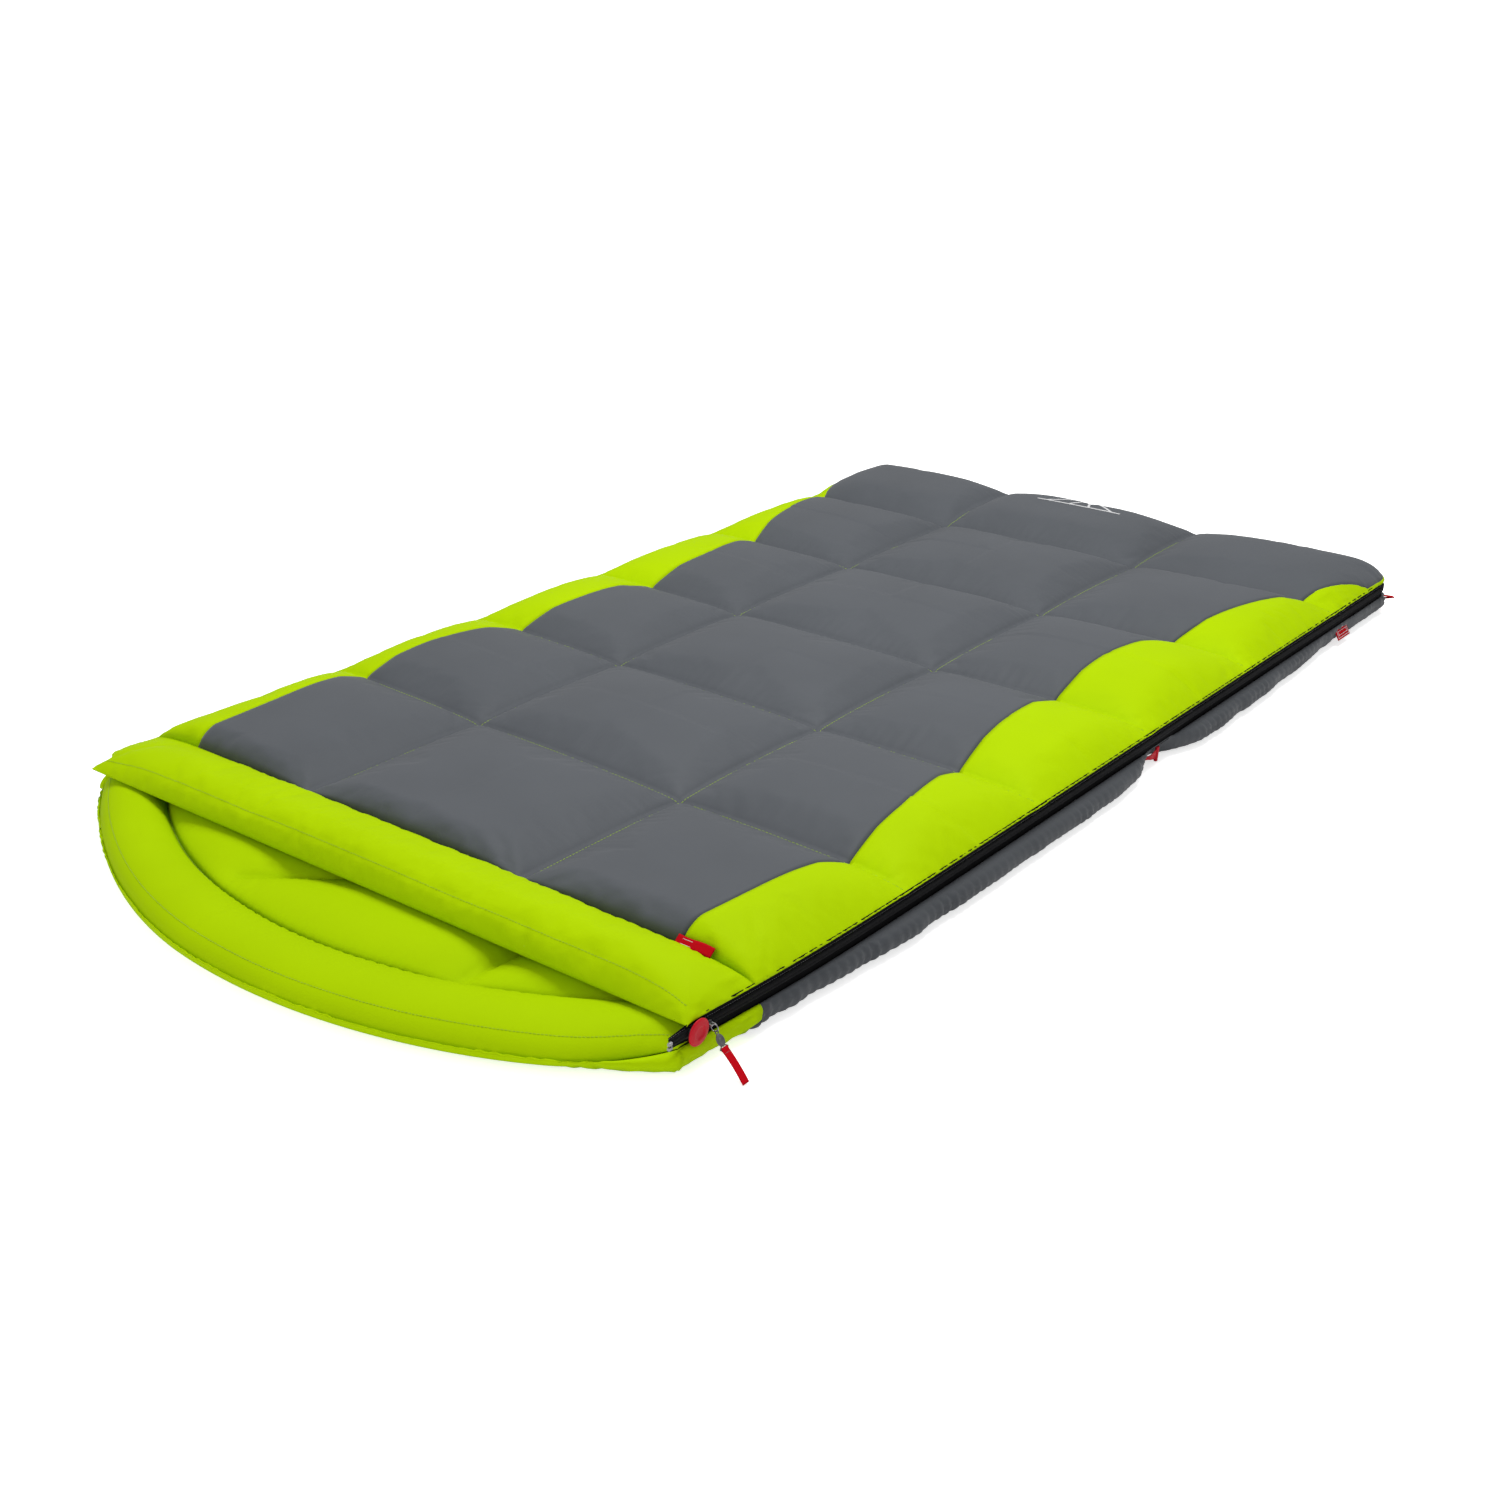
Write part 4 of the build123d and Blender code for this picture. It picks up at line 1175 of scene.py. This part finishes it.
pull_top = link_centre + down * LINK_RADIUS
radial = np.cos(turn)[:, None] * down + np.sin(turn)[:, None] * wide
eye_path = pull_top + down * 0.0006 + 0.0020 * radial
eye = sweep("pull_eye", eye_path, radial, face, round_profile(0.00065), True)
dress(eye, m_pull, "pull", ["metal_pull"])
OVAL = (
    (0.001, -0.0005), (0.74, -0.0005), (0.80, -0.00085), (0.93, -0.00085), (1.0, -0.00045), (1.0, 0.00045),
    (0.93, 0.00085), (0.80, 0.00085), (0.74, 0.0005), (0.56, 0.0005), (0.52, 0.00075), (0.44, 0.00075),
    (0.40, 0.0005), (0.001, 0.0005),
)
plate = lathe("pull_plate", pull_top + down * 0.0094, face, down, OVAL, (0.0068, 0.0055))
dress(plate, m_pull, "pull", ["metal_pull"])
BAIL = 0.0180  # from the top of the pull to the bar of its bail
bail_right = [(0.0148, -0.0022), (0.0178, -0.0062), (BAIL, -0.0060)]
corners = np.array(bail_right + [(a, -b) for a, b in reversed(bail_right)])
for _ in range(3):
    after = np.roll(corners, -1, axis=0)
    corners = np.stack([corners * 0.75 + after * 0.25, corners * 0.25 + after * 0.75], 1).reshape(-1, 2)
loop_path = pull_top + corners[:, :1] * down + corners[:, 1:] * wide
ahead = np.roll(loop_path, -1, axis=0) - np.roll(loop_path, 1, axis=0)
ahead /= np.linalg.norm(ahead, axis=1, keepdims=True)
bail = sweep("pull_bail", loop_path, np.cross(ahead, face), face, round_profile(0.0007, 10), True)
dress(bail, m_pull, "pull", ["metal_pull"])


def folded_strip(name, origin, forward, normal, across, length, gap, nose, width, thick, drift=0.0):
    """Ribbon folded double: from its free end round a nose and back. drift moves the free end sideways."""
    origin = np.asarray(origin, float)
    s = np.linspace(length, nose * 2.2, 16)
    turn = np.linspace(-math.pi / 2, -3 * math.pi / 2, 13)
    back_at = np.stack([s, np.full_like(s, -gap)], -1)
    nose_at = np.stack([nose * np.cos(turn), nose * np.sin(turn)], -1)
    front_at = back_at[::-1] * [1, -1]
    flat_path = np.concatenate([back_at, nose_at, front_at])
    side = across * (-drift * np.clip(flat_path[:, 0] / length, 0, 1) ** 1.6)[:, None]
    path = origin + flat_path[:, :1] * forward + flat_path[:, 1:] * normal + side
    ahead = np.gradient(flat_path, axis=0)
    ahead /= np.linalg.norm(ahead, axis=1, keepdims=True)
    thickness = ahead[:, :1] * normal - ahead[:, 1:] * forward
    return sweep(name, path, across, thickness, flat_profile(width, thick, 4))


RIBBON_LEAN = math.radians(56)
ribbon_down = np.array([math.sin(RIBBON_LEAN), 0, -math.cos(RIBBON_LEAN)])
ribbon_face = np.array([math.cos(RIBBON_LEAN), 0, math.sin(RIBBON_LEAN)])
ribbon_top = pull_top + down * BAIL
ribbon_axes = (ribbon_top, ribbon_down, ribbon_face, wide)
ribbon = folded_strip("woven_ribbon", *ribbon_axes, 0.0405, 0.00035, 0.00115, 0.0098, 0.0005, 0.007)
dress(ribbon, m_ribbon, "ribbon", ["ribbon_pull"])
TACKS = 5
tack_start = ribbon_top + ribbon_down * 0.0052 + ribbon_face * 0.0006
tack = tack_start + np.linspace(-0.0036, 0.0036, TACKS)[:, None] * wide
tack_along, tack_out = np.tile(wide, (TACKS, 1)), np.tile(ribbon_face, (TACKS, 1))
ribbon_thread = bars("ribbon_thread", tack, tack_along, tack_out, (0.0014, 0.0005, 0.0003))
dress(ribbon_thread, m_row, "ribbon", [])

# ------------------------------------------------ toggle, foot loop and tags
strap_low, strap_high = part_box("toggle_strap")
bar_low, bar_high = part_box("toggle_bar")
strap_x, strap_z = (strap_low.x + strap_high.x) / 2, (strap_low.z + strap_high.z) / 2
y = np.linspace(strap_low.y - 0.004, bar_low.y + 0.001, 14)
half_width = np.interp(y, (strap_low.y, bar_low.y), (0.0028, 0.0076))
one = flat_profile(2.0, 1.0, 4)
strip = one[None] * np.stack([half_width, np.full_like(y, 0.0014)], -1)[:, None]
bent = -0.0035 * np.clip((strap_low.y + 0.004 - y) / 0.008, 0, 1)
path = np.stack([strap_x + bent, y, np.full_like(y, strap_z)], -1)
strap = sweep("toggle_web", path, UPWARD, (1, 0, 0), strip)
dress(strap, m_red, "toggle", ["toggle_strap"])

loop_low, loop_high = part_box("foot_loop")
LOOP_TURN = math.radians(35)
loop_out = np.array([math.cos(LOOP_TURN), math.sin(LOOP_TURN), 0.0])
loop_across = np.array([math.sin(LOOP_TURN), -math.cos(LOOP_TURN), 0.0])
loop_centre = (np.array(loop_low) + np.array(loop_high)) / 2
s = np.linspace(-0.0165, 0.0115, 20)
belly = 0.0005 + 0.0014 * np.sin(math.pi * np.clip((s + 0.0165) / 0.028, 0, 1)) ** 1.5
turn = np.linspace(math.pi / 2, -math.pi / 2, 9)[1:-1]
tip = np.stack([0.0115 + 0.0006 * np.cos(turn), 0.0005 * np.sin(turn)], -1)
flat_path = np.concatenate([np.stack([s, belly], -1), tip, np.stack([s, -belly], -1)[::-1]])
path = loop_centre + flat_path[:, :1] * loop_out + flat_path[:, 1:] * UPWARD
ahead = np.gradient(flat_path, axis=0)
ahead /= np.linalg.norm(ahead, axis=1, keepdims=True)
loop_normal = ahead[:, :1] * UPWARD - ahead[:, 1:] * loop_out
foot_web = sweep("foot_webbing", path, loop_across, loop_normal, flat_profile(0.0078, 0.0006, 4))
dress(foot_web, m_ribbon, "corner_loop", ["foot_loop"])


BORDER_PITCH = 0.0016


def frame_bars(name, centre, u, v, out, size, inset, width, lift):
    """Plain sewn border inside the edge of a tag; size is its extent along u and v."""
    a, b = size[0] / 2 - inset, size[1] / 2 - inset
    sides = ((v * b, u, 2 * a), (-v * b, u, 2 * a), (u * a, v, 2 * b), (-u * a, v, 2 * b))
    points, along = [], []
    for offset, direction, length in sides:
        count = max(4, int(length / BORDER_PITCH))
        steps = np.linspace(-0.5, 0.5, count)[:, None] * length
        points.append(centre + offset + out * lift + direction * steps)
        along.append(np.tile(direction, (count, 1)))
    points = np.concatenate(points)
    return bars(name, points, np.concatenate(along), np.tile(out, (len(points), 1)), (0.0020, width, 0.0004))


LABEL_LEAN = math.radians(30)
label_down = np.array([math.sin(LABEL_LEAN), 0, -math.cos(LABEL_LEAN)])
label_face = np.array([math.cos(LABEL_LEAN), 0, math.sin(LABEL_LEAN)])
label_low, label_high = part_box("side_label")
label_centre = (np.array(label_low) + np.array(label_high)) / 2
LABEL_SIZE = (0.044, 0.020)
label_foot = label_centre + label_down * 0.0092
tag = folded_strip(
    "side_tag_cloth", label_foot, -label_down, label_face, wide, 0.0195, 0.0004, 0.0005, LABEL_SIZE[0], 0.0006
)
dress(tag, m_ribbon, "side_tag", ["side_label"])
label_axes = (label_centre, wide, label_down, label_face, LABEL_SIZE)
for name, inset, width in (("side_tag_border", 0.0030, 0.0008), ("side_tag_patch", 0.0070, 0.0007)):
    dress(frame_bars(name, *label_axes, inset, width, 0.0008), m_white, "side_tag", [])


def surface_z(x, y):
    """Height of the upper cloth at a place."""
    x, y = np.atleast_1d(x), np.atleast_1d(y)
    flat_points = UP.reshape(-1, 3)
    height = []
    for a, b in zip(x, y):
        d = (flat_points[:, 0] - a) ** 2 + (flat_points[:, 1] - b) ** 2
        near = np.argpartition(d, 4)[:4]
        weight = 1 / (d[near] + 1e-8)
        height.append((flat_points[near, 2] * weight).sum() / weight.sum())
    return np.array(height)


tag_low, tag_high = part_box("cuff_label")
TAG_LENGTH, TAG_DROP, TAG_SLOPE = tag_high.x - tag_low.x, 0.0105, 0.70
tag_x = (tag_low.x + tag_high.x) / 2 - 0.004
lean = np.array([1.0, SEAM_SKEW, 0.0]) / math.hypot(1, SEAM_SKEW)
forward = np.array([lean[1], -lean[0], 0.0])
start = np.array([tag_x, cuff_line(tag_x), 0.0])
u = np.linspace(-0.5, 0.5, 24) * TAG_LENGTH
v = np.linspace(0, 1, 6) * TAG_DROP
tag_points = start + u[:, None, None] * lean + v[None, :, None] * forward
mid = surface_z(tag_points[..., 0].mean(), tag_points[..., 1].mean())[0]
tag_points[..., 2] = mid + 0.0085 + 0.0006 * np.sin(u * 160)[:, None] - v[None] * TAG_SLOPE
cuff_tag = sheet("cuff_tag_cloth", tag_points, None, True, 0.0012)
dress(cuff_tag, m_ribbon, "cuff_tag", ["cuff_label"])
tag_middle = tag_points.reshape(-1, 3).mean(0)
tag_slope = (forward - TAG_SLOPE * UPWARD) / math.hypot(1, TAG_SLOPE)
tag_face = -np.cross(lean, tag_slope)
tag_axes = (tag_middle, lean, tag_slope, tag_face, (TAG_LENGTH, TAG_DROP))
tag_border = frame_bars("cuff_tag_border", *tag_axes, 0.0022, 0.0007, 0.0006)
dress(tag_border, m_white, "cuff_tag", [])


def printed(name, lines, width):
    """Flat print on the upper cloth: each line is a list of plan points."""
    verts, faces = [], []
    for line in lines:
        line = np.array(line, float)
        for a, b in zip(line, line[1:]):
            length = np.linalg.norm(b - a)
            n = max(2, int(length / 0.004))
            side = np.array([-(b - a)[1], (b - a)[0]]) / length * width / 2
            middle = a + np.linspace(-width / 2 / length, 1 + width / 2 / length, n + 1)[:, None] * (b - a)
            base = len(verts)
            for p in middle:
                for q in (p + side, p - side):
                    verts.append((q[0], q[1], surface_z(q[0], q[1])[0] + 0.0006))
            for i in range(base, base + 2 * n, 2):
                faces.append((i, i + 1, i + 3, i + 2))
    obj = mesh_object(name, verts, faces)
    if obj.data.polygons[0].normal.z < 0:
        obj.data.flip_normals()
    return thicken(obj, 0.0003)


tent = printed("tent_print", (
    ((-0.090, 0.945), (0.065, 0.945)),
    ((-0.072, 0.948), (-0.012, 1.000)),
    ((-0.012, 1.000), (0.048, 0.948)),
    ((-0.012, 0.992), (-0.030, 0.948)),
    ((-0.012, 0.992), (0.006, 0.948)),
), 0.0045)
dress(tent, m_white, "top", [])

# ------------------------------------------------ camera, light and floor
world = bpy.data.worlds.new("studio")
bpy.context.scene.world = world
world.use_nodes = True
world.node_tree.nodes["Background"].inputs["Color"].default_value = (1, 1, 1, 1)
world.node_tree.nodes["Background"].inputs["Strength"].default_value = 0.42
sky = world.node_tree
seen = sky.nodes.new("ShaderNodeLightPath")
paper = sky.nodes.new("ShaderNodeBackground")
paper.inputs["Color"].default_value = (1, 1, 1, 1)
paper.inputs["Strength"].default_value = 1.1
either = sky.nodes.new("ShaderNodeMixShader")
sky.links.new(seen.outputs["Is Camera Ray"], either.inputs["Fac"])
sky.links.new(sky.nodes["Background"].outputs[0], either.inputs[1])
sky.links.new(paper.outputs[0], either.inputs[2])
sky.links.new(either.outputs[0], sky.nodes["World Output"].inputs["Surface"])


def area_light(name, place, target, size, power):
    """Square soft light aimed at a point."""
    data = bpy.data.lights.new(name, "AREA")
    data.shape = "SQUARE"
    data.size = size
    data.energy = power
    obj = bpy.data.objects.new(name, data)
    obj.location = place
    obj.rotation_euler = (Vector(target) - Vector(place)).to_track_quat("-Z", "Y").to_euler()
    bpy.context.scene.collection.objects.link(obj)
    return obj


key = area_light("key_light", (0.1, 0.5, 2.9), (0, 0, 0), 1.5, 81)
fill = area_light("fill_light", (0.4, -3.2, 1.7), (0, -0.3, 0), 2.0, 26)
FLOOR = 6.0
floor_corners = [(a * FLOOR, b * FLOOR, 0) for a, b in ((-1, -1), (1, -1), (1, 1), (-1, 1))]
floor = mesh_object("floor", floor_corners, [(0, 1, 2, 3)])
floor.location.z = -0.0002
floor_material, floor_tree, floor_bsdf = new_material("floor_paper")
floor_bsdf.inputs["Base Color"].default_value = (0.9, 0.9, 0.9, 1)
floor_bsdf.inputs["Roughness"].default_value = 0.9
floor_bsdf.inputs["Specular IOR Level"].default_value = 0.0
floor_bsdf.inputs["Emission Color"].default_value = (1, 1, 1, 1)
glow = node(floor_tree, "ShaderNodeMath", operation="MULTIPLY_ADD")
glow.inputs[1].default_value = 0.55
glow.inputs[2].default_value = 0.12
ray = floor_tree.nodes.new("ShaderNodeLightPath")
floor_tree.links.new(ray.outputs["Is Camera Ray"], glow.inputs[0])
floor_tree.links.new(glow.outputs[0], floor_bsdf.inputs["Emission Strength"])
floor.data.materials.append(floor_material)

VIEW_AZIMUTH = math.radians(47.366)
VIEW_HEIGHT = math.radians(24.598)
VIEW_ROLL = math.radians(-2.233)
VIEW_DISTANCE = 2.4173
VIEW_TARGET = np.array([-0.2522, -0.415, 0.0])
VIEW_SHIFT = 0.2
back = np.array([
    math.sin(VIEW_AZIMUTH) * math.cos(VIEW_HEIGHT),
    -math.cos(VIEW_AZIMUTH) * math.cos(VIEW_HEIGHT),
    math.sin(VIEW_HEIGHT),
])
right = np.cross([0, 0, 1], back)
right /= np.linalg.norm(right)
up = np.cross(back, right)
turned_right = right * math.cos(VIEW_ROLL) + up * math.sin(VIEW_ROLL)
turned_up = -right * math.sin(VIEW_ROLL) + up * math.cos(VIEW_ROLL)
camera_data = bpy.data.cameras.new("camera")
camera_data.lens = 40.15
camera_data.sensor_width = 36.0
camera = bpy.data.objects.new("camera", camera_data)
place = VIEW_TARGET + back * VIEW_DISTANCE
camera.matrix_world = Matrix([
    (turned_right[0], turned_up[0], back[0], place[0]),
    (turned_right[1], turned_up[1], back[1], place[1]),
    (turned_right[2], turned_up[2], back[2], place[2]),
    (0, 0, 0, 1),
])
bpy.context.scene.collection.objects.link(camera)
bpy.context.scene.camera = camera
camera_data.shift_x = VIEW_SHIFT
driver = camera_data.driver_add("shift_x").driver
driver.type = "SCRIPTED"
moved = driver.variables.new()
moved.name = "z"
moved.type = "TRANSFORMS"
moved.targets[0].id = camera
moved.targets[0].transform_type = "LOC_Z"
sideways = driver.variables.new()
sideways.name = "x"
sideways.type = "TRANSFORMS"
sideways.targets[0].id = camera
sideways.targets[0].transform_type = "LOC_X"
driver.expression = f"{VIEW_SHIFT} if abs(z - {place[2]:.5f}) + abs(x - {place[0]:.5f}) < 0.001 else 0.0"
bpy.context.scene.view_settings.view_transform = "Standard"

# ------------------------------------------------ unparent the fold cloth and bake its placement into its mesh
fold_cloth_world = fold_cloth.matrix_world.copy()
fold_cloth.parent = None
fold_cloth.matrix_world = fold_cloth_world
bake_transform(fold_cloth)
